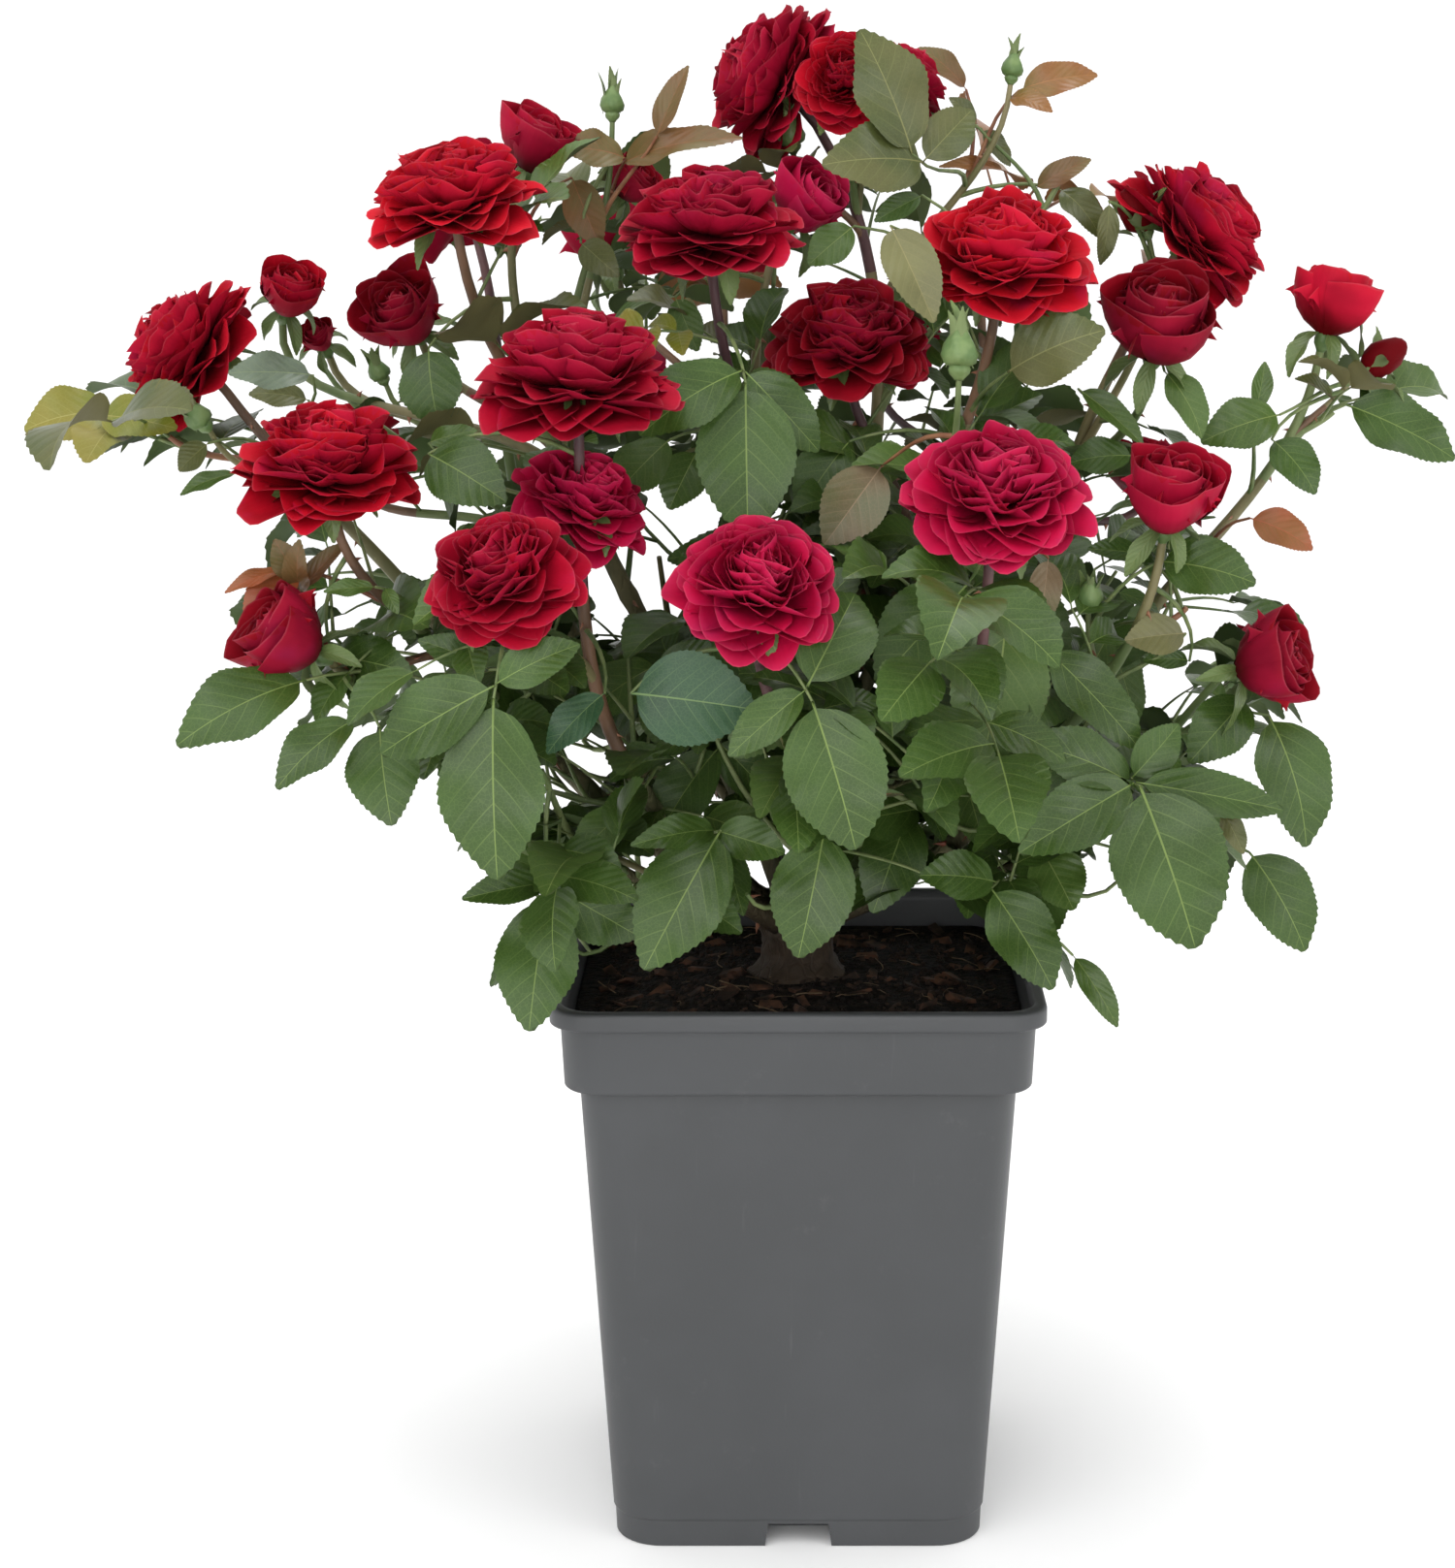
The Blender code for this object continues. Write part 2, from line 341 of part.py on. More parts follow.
# ================================================================ growth rule
def direction(turn, tilt):
    """Unit vector that points turn degrees round from +X and tilt degrees up."""
    a = math.radians(turn)
    e = math.radians(tilt)
    return Vector((math.cos(e) * math.cos(a), math.cos(e) * math.sin(a), math.sin(e)))


def along(curve, t):
    """Point of a cubic curve."""
    a, b, c, d = curve
    s = 1.0 - t
    return a * s ** 3 + b * (3 * s * s * t) + c * (3 * s * t * t) + d * t ** 3


def heading(curve, t):
    """Unit direction of a cubic curve."""
    a, b, c, d = curve
    s = 1.0 - t
    return ((b - a) * (s * s) + (c - b) * (2 * s * t) + (d - c) * (t * t)).normalized()


def bend(start, start_way, end, end_way, reach=0.36):
    """Cubic curve that leaves start along start_way and arrives at end along end_way."""
    span = (end - start).length * reach
    return (start, start + start_way * span, end - end_way * span, end)


def across(way, hint):
    """The part of hint that is square to way."""
    side = hint - way * hint.dot(way)
    if side.length < 1e-4:
        side = way.orthogonal()
    return side.normalized()


UP = Vector((0.0, 0.0, 1.0))
FRONT = Vector((0.0, -1.0, 0.0))
STOCK_CENTRE = Vector((0.0, 0.0, STOCK_CENTRE_Z))


def outward(point):
    """Level direction away from the pot's axis."""
    flat = Vector((point.x, point.y, 0.0))
    return flat.normalized() if flat.length > 1e-4 else FRONT.copy()


def grow_limbs():
    """Canes off the stock and side shoots off the canes, each one tapering curve."""
    limbs = {}
    for name, parent, root, tip, base_radius, tip_radius in LIMBS:
        end = Vector(tip)
        if parent == "stock":
            way = direction(*root)
            start = STOCK_CENTRE + way * (STOCK_RADIUS + GAP)
        else:
            host, host_base, host_tip = limbs[parent]
            fork = along(host, root)
            host_way = heading(host, root)
            host_radius = host_base + (host_tip - host_base) * root
            aim = (end - fork).normalized()
            side = across(host_way, aim)
            lean = max(aim.angle(host_way), math.radians(SHOOT_ANGLE))
            way = host_way * math.cos(lean) + side * math.sin(lean)
            stand_off = host_radius + 2 * GAP + base_radius * math.cos(lean)
            start = fork + way * (stand_off / math.sin(lean))
        end_way = ((end - start).normalized() + UP * 0.5 + outward(end) * 0.15).normalized()
        limbs[name] = (bend(start, way, end, end_way), base_radius, tip_radius)
    return limbs


def grow_stalks(limbs):
    """Stalks of each mass: the first leads on from the limb, the others fork off it."""
    stalks = []
    for mass, limb_name in MASSES:
        limb, _, limb_tip = limbs[limb_name]
        own = []
        for owner, end, width, turn, tilt, form in STALKS:
            if owner != mass:
                continue
            face = direction(turn, tilt)
            foot = Vector(end) - face * (FLOWER_FOOT[form] * width)
            arrive = (face + UP * 0.7).normalized()
            tip_radius = STALK_TIP_RADIUS[form]
            if not own:
                way = heading(limb, 1.0)
                start = along(limb, 1.0) + way * GAP
                radius = limb_tip
            else:
                start, way, radius = best_fork(own[0], foot)
            curve = bend(start, way, foot, arrive)
            own.append({"mass": mass, "curve": curve, "radius": radius, "tip_radius": tip_radius,
                        "centre": Vector(end), "face": face, "width": width, "form": form})
        stalks.extend(own)
    return stalks


def best_fork(leader, foot):
    """Low place on the leading stalk where a stalk to foot parts at the usual angle."""
    def cost(t):
        way = heading(leader["curve"], t)
        angle = math.degrees((foot - along(leader["curve"], t)).angle(way))
        return abs(angle - FORK_ANGLE) + t * 12

    t = min((step / 20.0 for step in range(2, 15)), key=cost)
    place = along(leader["curve"], t)
    way = heading(leader["curve"], t)
    radius = leader["radius"] + (leader["tip_radius"] - leader["radius"]) * t
    start_way = (way + (foot - place).normalized()).normalized()
    return place, start_way, radius * 0.82


def stalk_samples(stalk, count=9):
    return [along(stalk["curve"], i / (count - 1)) for i in range(count)]


def reach_at(z):
    """The crown's reach at height z."""
    rows = CROWN_REACH
    if z <= rows[0][0]:
        return rows[0][1]
    for (low, near), (high, far) in zip(rows, rows[1:]):
        if z <= high:
            return near + (far - near) * (z - low) / (high - low)
    return 0.0


class Space:
    """Says whether a leaflet may grow somewhere."""

    def __init__(self, stalks):
        self.flowers = [s for s in stalks if s["form"] in ("full", "cup")]
        self.middles = []
        self.trees = {}
        for mass, _ in MASSES:
            points = [p for s in stalks if s["mass"] == mass for p in stalk_samples(s)]
            points += [s["centre"] for s in stalks if s["mass"] == mass]
            tree = KDTree(len(points))
            for i, point in enumerate(points):
                tree.insert(point, i)
            tree.balance()
            self.trees[mass] = tree

    def in_own_cell(self, mass, point, slack):
        own = self.trees[mass].find(point)[2]
        return all(own <= tree.find(point)[2] + slack
                   for name, tree in self.trees.items() if name != mass)

    def over_flower(self, point):
        """True in front of a flower's face, or inside the flower."""
        for flower in self.flowers:
            radius = flower["width"] / 2 * 0.95
            rel = point - flower["centre"]
            if rel.length < radius:
                return True
            for way in (flower["face"], outward(flower["centre"])):
                depth = rel.dot(way)
                if 0.0 < depth < FLOWER_VIEW and (rel - way * depth).length < radius:
                    return True
        return False

    @staticmethod
    def in_reach(point):
        if point.z > CROWN_REACH[-1][0] or math.hypot(point.x, point.y) > reach_at(point.z):
            return False
        half = LIP_WIDTH / 2 + CLEAR_OF_POT
        beside = max(abs(point.x), abs(point.y))
        if beside < half and point.z < POT_HEIGHT + LEAF_ABOVE_POT:
            return False
        return point.z > POT_HEIGHT - LEAF_BELOW_LIP

    @staticmethod
    def in_sky(point, margin=0.0):
        """True where the line of sight from the eye to the point is to stay clear."""
        share = EYE[1] / (EYE[1] - point.y)
        seen_x = EYE[0] + (point.x - EYE[0]) * share
        seen_z = EYE[2] + (point.z - EYE[2]) * share
        return any(math.hypot(seen_x - x, seen_z - z) < r + margin for x, z, r in SKY)

    def has_room(self, point):
        return all((point - other).length > LEAF_ROOM for other in self.middles)

    def allows(self, mass, base, tip):
        middle = base.lerp(tip, 0.55)
        return (self.in_reach(tip) and self.in_reach(middle) and self.has_room(middle)
                and not self.in_sky(middle, SKY_MARGIN) and not self.in_sky(tip)
                and not self.over_flower(middle) and not self.over_flower(tip)
                and self.in_own_cell(mass, middle, CELL_SLACK)
                and self.in_own_cell(mass, tip, CELL_SLACK + LEAFLET_TIP_SLACK))


def leaflet(petiole, share, side, tip, hint, shape=LEAFLET_SHAPE):
    """One leaflet on a petiole: side is 0 at its end, or -1 left and 1 right of it."""
    base = along(petiole, share)
    normal = across((tip - base).normalized(), hint)
    return {"share": share, "side": side, "base": base, "tip": tip, "normal": normal, "shape": shape}


def grow_fans(stalks, space):
    """The large leaves, each on a petiole from the handiest place of its mass."""
    leaves = []
    for mass, node, tips in FANS:
        node = Vector(node)
        mean = sum((Vector(t[:3]) for t in tips), Vector()) / len(tips)
        arrive = (mean - node).normalized()
        best = None
        for curve in [stalk["curve"] for stalk in stalks if stalk["mass"] == mass]:
            for step in range(1, 19):
                gap = node - along(curve, step / 20.0)
                turn = gap.angle(arrive) if gap.length > 1e-3 else math.pi
                cost = abs(gap.length - FAN_REACH) + 0.020 * max(0.0, turn - 1.0)
                if best is None or cost < best[0]:
                    best = (cost, along(curve, step / 20.0), heading(curve, step / 20.0))
        _, place, stem_way = best
        leave = (stem_way * 0.5 + (node - place).normalized()).normalized()
        settle = ((node - place).normalized() + arrive * 0.6).normalized()
        petiole = bend(place, leave, node, settle)
        hint = (FRONT * 0.9 + UP * 0.55 + outward(node) * 0.25).normalized()
        normal = across(settle, hint)
        right = settle.cross(normal)
        blades = [leaflet(petiole, 1.0, 0, Vector(tips[0][:3]), hint, tips[0][3])]
        for x, y, z, broad in tips[1:]:
            tip = Vector((x, y, z))
            side = 1 if (tip - node).dot(right) > 0 else -1
            if any(b["side"] == side for b in blades):
                side = -side
            blades.append(leaflet(petiole, PAIR_SHARE, side, tip, hint, broad))
        space.middles.extend(node.lerp(b["tip"], 0.55) for b in blades)
        leaves.append({"mass": mass, "large": True, "petiole": petiole, "normal": normal,
                       "blades": blades})
    return leaves


def age_size(z):
    """Size of the leaves at height z: the young ones at the top are smaller."""
    share = min(1.0, max(0.0, (z - YOUNG_FROM) / (CROWN_REACH[-1][0] - YOUNG_FROM)))
    return 1.0 + (YOUNG_SIZE - 1.0) * share


def compound_leaf(mass, place, stem_way, turn, rng):
    """A petiole with a leaflet at its end and two pairs beside it."""
    side = across(stem_way, stem_way.orthogonal())
    other = stem_way.cross(side)
    radial = side * math.cos(turn) + other * math.sin(turn)
    leave = (radial * 0.85 + stem_way * 0.45 + UP * 0.12).normalized()
    length = LEAF_STALK * age_size(place.z) * rng.uniform(*LEAF_SPREAD)
    droop = rng.uniform(0.1, 0.55)
    settle = (leave - UP * droop).normalized()
    node = place + (leave * 0.62 + settle * 0.38).normalized() * length
    petiole = bend(place, leave, node, settle)
    hint = (UP * 0.8 + outward(node) * 0.45).normalized()
    normal = across(settle, hint)
    right = settle.cross(normal)
    size = LEAFLET_LENGTH * age_size(place.z) * rng.uniform(*LEAF_SPREAD)
    end = node + (settle - UP * 0.15).normalized() * size
    blades = [leaflet(petiole, 1.0, 0, end, hint)]
    for share, smaller in ((PAIR_SHARE, 0.86), (LOW_PAIR_SHARE, 0.68)):
        root = along(petiole, share)
        for side in (-1, 1):
            way = right * side + settle * rng.uniform(0.25, 0.5) - UP * rng.uniform(0.05, 0.3)
            tip = root + way.normalized() * size * smaller
            blades.append(leaflet(petiole, share, side, tip, hint))
    return {"mass": mass, "large": False, "petiole": petiole, "normal": normal, "blades": blades}


def grow_seeded_leaves(stalks, space):
    """Compound leaves set spirally up every stalk, wherever there is room for them."""
    leaves = []
    rng = random.Random(20)
    for order, stalk in enumerate(stalks):
        length = sum((a - b).length for a, b in zip(stalk_samples(stalk), stalk_samples(stalk)[1:]))
        if stalk["form"] == "bud" and length < 0.05:
            continue
        count = max(1, int(length * 0.86 / LEAF_STEP))
        turn = order * 1.9
        for i in range(count):
            share = 0.05 + 0.83 * (i + 0.5) / count
            if stalk["form"] == "leafy":
                share = 0.10 + 0.90 * (i + 1.0) / count
            for attempt in range(LEAF_ATTEMPTS):
                turn += math.radians(GOLDEN_TURN if attempt == 0 else 61)
                leaf = compound_leaf(stalk["mass"], along(stalk["curve"], share),
                                     heading(stalk["curve"], share), turn, rng)
                kept = [b for b in leaf["blades"] if space.allows(stalk["mass"], b["base"], b["tip"])]
                if len(kept) >= 3 and kept[0] is leaf["blades"][0]:
                    leaf["blades"] = kept
                    leaves.append(leaf)
                    space.middles.extend(b["base"].lerp(b["tip"], 0.55) for b in kept)
                    break
    return leaves


# ============================================================= meshes of solids
def new_object(name, bm, material):
    mesh = bpy.data.meshes.new(name)
    bm.to_mesh(mesh)
    bm.free()
    piece = bpy.data.objects.new(name, mesh)
    bpy.context.scene.collection.objects.link(piece)
    mesh.materials.append(material)
    return piece


def close_rings(bm, rings, cap_start=True, cap_end=True):
    """Skin a stack of equal rings and cap its ends; the rings turn left along the stack."""
    count = len(rings[0])
    for low, high in zip(rings, rings[1:]):
        for i in range(count):
            j = (i + 1) % count
            bm.faces.new((low[i], low[j], high[j], high[i]))
    if cap_start:
        bm.faces.new(tuple(reversed(rings[0])))
    if cap_end:
        bm.faces.new(tuple(rings[-1]))


def add_tube(bm, points, ways, radii, sides):
    """Closed tube along points; its sides keep their places as the tube bends."""
    side = ways[0].orthogonal()
    rings = []
    for i, (point, way) in enumerate(zip(points, ways)):
        side = across(way, side)
        other = way.cross(side)
        ring = []
        for k in range(sides):
            a = 2 * math.pi * k / sides
            ring.append(bm.verts.new(point + (side * math.cos(a) + other * math.sin(a)) * radii[i]))
        rings.append(ring)
    close_rings(bm, rings)


def curve_points(curve, count):
    """Equally spaced points of a curve and its direction at each."""
    shares = [i / (count - 1) for i in range(count)]
    return [along(curve, t) for t in shares], [heading(curve, t) for t in shares]


def blade_corners(blade):
    """Left, tip and right corners of a leaflet and the ridge over its broadest place."""
    base = blade["base"]
    length = (blade["tip"] - base).length
    way = (blade["tip"] - base).normalized()
    side = way.cross(blade["normal"]) * (length * blade["shape"] / 2)
    broad = base + way * length * LEAFLET_BROADEST
    return broad - side, blade["tip"].copy(), broad + side, broad + blade["normal"] * LEAFLET_THICK


def add_blade(bm, blade):
    """Leaflet by itself, a flat pyramid on four corners."""
    base = bm.verts.new(blade["base"])
    left, tip, right, ridge = [bm.verts.new(p) for p in blade_corners(blade)]
    for a, b in ((base, right), (right, tip), (tip, left), (left, base)):
        bm.faces.new((a, b, ridge))
    bm.faces.new((tip, right, base))
    bm.faces.new((left, tip, base))


def grow_blade(bm, blade, near, far, low_far, low_near):
    """Leaflet grown out of the gap between two upper and two lower points of a petiole.

    Seen from above with the leaflet pointing away, near is on the right.  At the end of
    a petiole the two lower points are one.
    """
    left, tip, right, ridge = [bm.verts.new(p) for p in blade_corners(blade)]
    for a, b in ((near, right), (right, tip), (tip, left), (left, far), (far, near)):
        bm.faces.new((a, b, ridge))
    bm.faces.new((near, low_near, right))
    bm.faces.new((low_near, tip, right))
    if low_far is not low_near:
        bm.faces.new((low_near, low_far, tip))
    bm.faces.new((low_far, left, tip))
    bm.faces.new((low_far, far, left))


def add_leaf(bm, leaf):
    """Three-sided petiole with its leaflets grown out of its sides and its end."""
    petiole = leaf["petiole"]
    pairs = sorted({b["share"] for b in leaf["blades"] if b["side"] != 0})
    shares = [0.0]
    for share in pairs:
        shares += [share - PAIR_ROOT, min(share + PAIR_ROOT, 1.0)]
    if shares[-1] < 0.999:
        shares.append(1.0)
    if len(shares) == 2:
        shares.insert(1, 0.5)
    rings = []
    for share in shares:
        way = heading(petiole, share)
        up = across(way, leaf["normal"])
        right = way.cross(up)
        place = along(petiole, share)
        rings.append([bm.verts.new(place + offset * PETIOLE_RADIUS)
                      for offset in (up * 0.5 - right * 0.87, up * 0.5 + right * 0.87, -up)])
    open_sides = {}
    for blade in leaf["blades"]:
        if blade["side"] != 0:
            open_sides[(shares.index(blade["share"] - PAIR_ROOT), blade["side"])] = blade
    for i in range(len(rings) - 1):
        left, right, low = rings[i]
        left_far, right_far, low_far = rings[i + 1]
        bm.faces.new((left, right, right_far, left_far))
        if (i, 1) in open_sides:
            grow_blade(bm, open_sides[(i, 1)], right, right_far, low_far, low)
        else:
            bm.faces.new((right, low, low_far, right_far))
        if (i, -1) in open_sides:
            grow_blade(bm, open_sides[(i, -1)], left_far, left, low, low_far)
        else:
            bm.faces.new((low, left, left_far, low_far))
    left, right, low = rings[0]
    bm.faces.new((right, left, low))
    left, right, low = rings[-1]
    ends = [b for b in leaf["blades"] if b["side"] == 0]
    if ends:
        grow_blade(bm, ends[0], right, left, low, low)
    else:
        bm.faces.new((left, right, low))


# Flower outlines from the stalk up: share of the half width, height, petal scallop.
FLOWER_PROFILES = {
    "full": ((0.10, -0.46, 0.0), (0.55, -0.32, 0.0), (1.00, -0.08, 0.07), (0.84, 0.20, 0.06),
             (0.40, 0.37, 0.0)),
    "cup": ((0.13, -0.80, 0.0), (0.70, -0.44, 0.0), (0.97, 0.18, 0.04), (0.66, 0.55, 0.08)),
    "bud": ((0.26, -1.30, 0.0), (0.95, -0.55, 0.0), (0.90, 0.30, 0.0), (0.22, 1.45, 0.0)),
}
FLOWER_SIDES = {"full": 10, "cup": 8, "bud": 4}


def add_flower(bm, stalk):
    """Closed rosette, cup or bud, scalloped in steps where its petals turn out."""
    face = stalk["face"]
    side = across(face, face.orthogonal())
    other = face.cross(side)
    half = stalk["width"] / 2
    sides = FLOWER_SIDES[stalk["form"]]
    rings = []
    for level, (radius, height, scallop) in enumerate(FLOWER_PROFILES[stalk["form"]]):
        ring = []
        for k in range(sides):
            a = 2 * math.pi * k / sides
            wave = scallop * (1 if (k + level) % 2 else -1)
            reach = half * radius * (1 + wave)
            lift = half * (height + wave * 0.5)
            spot = (side * math.cos(a) + other * math.sin(a)) * reach
            ring.append(bm.verts.new(stalk["centre"] + face * lift + spot))
        rings.append(ring)
    close_rings(bm, rings)


# --------------------------------------------------------------- touching test
def swollen_tree(bm):
    """Lowest corner, highest corner and search tree of a piece grown by the test margin."""
    bm.normal_update()
    bm.verts.index_update()
    points = [v.co + v.normal * TEST_MARGIN for v in bm.verts]
    faces = [[v.index for v in f.verts] for f in bm.faces]
    low = Vector([min(p[i] for p in points) for i in range(3)])
    high = Vector([max(p[i] for p in points) for i in range(3)])
    return low, high, BVHTree.FromPolygons(points, faces)


class Taken:
    """Search trees of everything placed so far, by the mass that owns it."""

    def __init__(self):
        self.rows = []

    def add(self, mass, kind, bm):
        self.rows.append((mass, kind, *swollen_tree(bm)))

    def touches(self, mass, free_kinds, bm):
        """True if the piece meets anything but pieces of its own mass of the free kinds."""
        low, high, tree = swollen_tree(bm)
        for other, kind, other_low, other_high, other_tree in self.rows:
            if other == mass and kind in free_kinds:
                continue
            if any(high[i] < other_low[i] or low[i] > other_high[i] for i in range(3)):
                continue
            if tree.overlap(other_tree):
                return True
        return False


# ---------------------------------------------------------------- pot and soil
def rounded_square(width, corner, z):
    """Corners of a square with round corners, counter-clockwise."""
    points = []
    inset = width / 2 - corner
    for quarter, (sx, sy) in enumerate(((1, 1), (-1, 1), (-1, -1), (1, -1))):
        for step in range(CORNER_STEPS + 1):
            a = math.pi / 2 * (quarter + step / CORNER_STEPS)
            points.append(Vector((sx * inset + corner * math.cos(a), sy * inset + corner * math.sin(a), z)))
    return points


def add_stack(bm, sections):
    """Closed skin through rounded squares given as width, corner radius, height."""
    rings = [[bm.verts.new(p) for p in rounded_square(*section)] for section in sections]
    close_rings(bm, rings)


def pot_sections():
    lip_foot = POT_HEIGHT - LIP_HEIGHT
    edge = 0.0008
    outer = [
        (FOOT_WIDTH - 2 * edge, FOOT_CORNER - edge, 0.0),
        (FOOT_WIDTH, FOOT_CORNER, edge),
        (FOOT_WIDTH + 0.0008, FOOT_CORNER, FOOT_HEIGHT),
        (BODY_FOOT_WIDTH, FOOT_CORNER, FOOT_HEIGHT + edge),
        (BODY_TOP_WIDTH, LIP_CORNER, BAND_FOOT_Z),
        (BAND_FOOT_WIDTH - 2 * edge, LIP_CORNER, BAND_FOOT_Z),
        (BAND_FOOT_WIDTH, LIP_CORNER, BAND_FOOT_Z + edge),
        (BAND_TOP_WIDTH, LIP_CORNER, lip_foot),
        (LIP_WIDTH - 2 * edge, LIP_CORNER, lip_foot),
        (LIP_WIDTH, LIP_CORNER, lip_foot + edge),
        (LIP_WIDTH, LIP_CORNER, POT_HEIGHT - edge),
        (LIP_WIDTH - 2 * edge, LIP_CORNER, POT_HEIGHT),
    ]
    inner = [
        (BAND_TOP_WIDTH - 2 * WALL + 0.004, LIP_CORNER - 0.001, POT_HEIGHT),
        (BAND_TOP_WIDTH - 2 * WALL, LIP_CORNER - WALL, POT_HEIGHT - 0.004),
        (BAND_FOOT_WIDTH - 2 * WALL, LIP_CORNER - WALL, BAND_FOOT_Z + 0.004),
        (BODY_TOP_WIDTH - 2 * WALL, LIP_CORNER - WALL, BAND_FOOT_Z),
        (BODY_FOOT_WIDTH - 2 * WALL, FOOT_CORNER - WALL, FLOOR_TOP),
    ]
    return outer, inner


def make_pot(material):
    """Hollow tapering pot with a rolled lip, a stepped collar and drainage notches."""
    outer, inner = pot_sections()
    bm = bmesh.new()
    add_stack(bm, outer + inner)
    pot = new_object("pot", bm, material)
    notches = bmesh.new()
    for turn in range(4):
        a = math.pi / 2 * turn
        way = Vector((math.cos(a), math.sin(a), 0))
        side = Vector((-math.sin(a), math.cos(a), 0))
        ring = []
        for share, z in ((-1.14, -0.002), (-1.0, 0.0), (-0.90, NOTCH_HEIGHT), (0.90, NOTCH_HEIGHT),
                         (1.0, 0.0), (1.14, -0.002)):
            ring.append(side * (share * NOTCH_WIDTH / 2) + Vector((0, 0, z)))
        near = [notches.verts.new(p + way * (FOOT_WIDTH / 2 - NOTCH_DEPTH)) for p in ring]
        far = [notches.verts.new(p + way * (FOOT_WIDTH / 2 + 0.01)) for p in ring]
        close_rings(notches, [near, far])
    bmesh.ops.recalc_face_normals(notches, faces=notches.faces)
    cutter = new_object("notch_cutter", notches, material)
    cutter.hide_render = True
    cutter.display_type = "WIRE"
    cut = pot.modifiers.new("notches", "BOOLEAN")
    cut.operation = "DIFFERENCE"
    cut.object = cutter
    return pot


def make_soil(material):
    """Compost that fills the pot, with a low mound round the stock."""
    inset = 2 * (WALL + GAP)
    wall_share = (SOIL_EDGE_Z - BAND_FOOT_Z) / (POT_HEIGHT - LIP_HEIGHT - BAND_FOOT_Z)
    top_width = BAND_FOOT_WIDTH + (BAND_TOP_WIDTH - BAND_FOOT_WIDTH) * wall_share
    shoulder = BAND_FOOT_Z + 0.004 + 2 * GAP
    sections = [
        (BODY_FOOT_WIDTH - inset - 0.0006, FOOT_CORNER - WALL - GAP, FLOOR_TOP + GAP),
        (BODY_TOP_WIDTH - inset - 0.0006, LIP_CORNER - WALL - GAP, BAND_FOOT_Z),
        (BODY_TOP_WIDTH - inset + 0.001, LIP_CORNER - WALL - GAP, BAND_FOOT_Z + 2 * GAP),
        (BAND_FOOT_WIDTH - inset - 0.001, LIP_CORNER - WALL - GAP, shoulder),
        (top_width - inset - 0.0006, LIP_CORNER - WALL - GAP, SOIL_EDGE_Z),
        (2.2 * SOIL_MOUND_RADIUS, 0.9 * SOIL_MOUND_RADIUS, SOIL_EDGE_Z + 0.003),
        (SOIL_MOUND_RADIUS, SOIL_MOUND_RADIUS * 0.49, SOIL_TOP_Z),
    ]
    bm = bmesh.new()
    add_stack(bm, sections)
    return new_object("compost", bm, material)


def make_stock(material):
    """Short stock: a flat cut at the soil, a root flare, and the knob the canes leave."""
    floor = SOIL_TOP_Z + GAP
    levels = [(STOCK_FLARE, floor), (STOCK_FLARE * 0.84, floor + 0.003), (0.0148, floor + 0.008)]
    for tilt in (-20, 8, 34, 60):
        e = math.radians(tilt)
        levels.append((STOCK_RADIUS * math.cos(e), STOCK_CENTRE_Z + STOCK_RADIUS * math.sin(e)))
    bm = bmesh.new()
    rings = []
    for level, (radius, z) in enumerate(levels):
        ring = []
        for k in range(STOCK_SIDES):
            a = 2 * math.pi * k / STOCK_SIDES
            bulge = 1 - 0.05 * (1 + math.cos(5 * a + level)) / 2
            ring.append(bm.verts.new((radius * bulge * math.cos(a), radius * bulge * math.sin(a), z)))
        rings.append(ring)
    close_rings(bm, rings)
    return new_object("stem_base", bm, material)


# -------------------------------------------------------------------- the bush
def limb_mesh(limb):
    curve, base_radius, tip_radius = limb
    points, ways = curve_points(curve, LIMB_RINGS)
    last = len(points) - 1
    radii = [base_radius + (tip_radius - base_radius) * i / last for i in range(last + 1)]
    bm = bmesh.new()
    add_tube(bm, points, ways, radii, LIMB_SIDES)
    return bm


def stalk_mesh(stalk):
    points, ways = curve_points(stalk["curve"], STALK_RINGS)
    last = len(points) - 1
    radii = [stalk["radius"] + (stalk["tip_radius"] - stalk["radius"]) * i / last
             for i in range(last + 1)]
    if stalk["form"] != "leafy":
        points[-1] = points[-1] + stalk["face"] * STALK_INTO_FLOWER
    bm = bmesh.new()
    add_tube(bm, points, ways, radii, STALK_SIDES)
    return bm


def leaf_mesh(leaf):
    bm = bmesh.new()
    add_leaf(bm, leaf)
    return bm


def blade_mesh(blade):
    bm = bmesh.new()
    add_blade(bm, blade)
    return bm


def flower_mesh(stalk):
    bm = bmesh.new()
    add_flower(bm, stalk)
    return bm


def keep_largest_body(bm):
    """Drop loose scraps and the skins of sealed hollows."""
    unseen = set(bm.faces)
    bodies = []
    while unseen:
        body = [unseen.pop()]
        for face in body:
            for edge in face.edges:
                for near in edge.link_faces:
                    if near in unseen:
                        unseen.remove(near)
                        body.append(near)
        bodies.append(body)
    bodies.sort(key=len, reverse=True)
    loose = [face for body in bodies[1:] for face in body]
    bmesh.ops.delete(bm, geom=loose, context="FACES")


def cut_to_triangles(mesh):
    bm = bmesh.new()
    bm.from_mesh(mesh)
    bmesh.ops.triangulate(bm, faces=bm.faces)
    bm.to_mesh(mesh)
    bm.free()


def union_mesh(first):
    """Evaluated union as triangles in one body, and whether every edge has two faces."""
    depsgraph = bpy.context.evaluated_depsgraph_get()
    mesh = bpy.data.meshes.new_from_object(first.evaluated_get(depsgraph))
    bm = bmesh.new()
    bm.from_mesh(mesh)
    keep_largest_body(bm)
    bmesh.ops.triangulate(bm, faces=bm.faces)
    sound = all(len(edge.link_faces) == 2 for edge in bm.edges)
    bm.to_mesh(mesh)
    bm.free()
    return mesh, sound


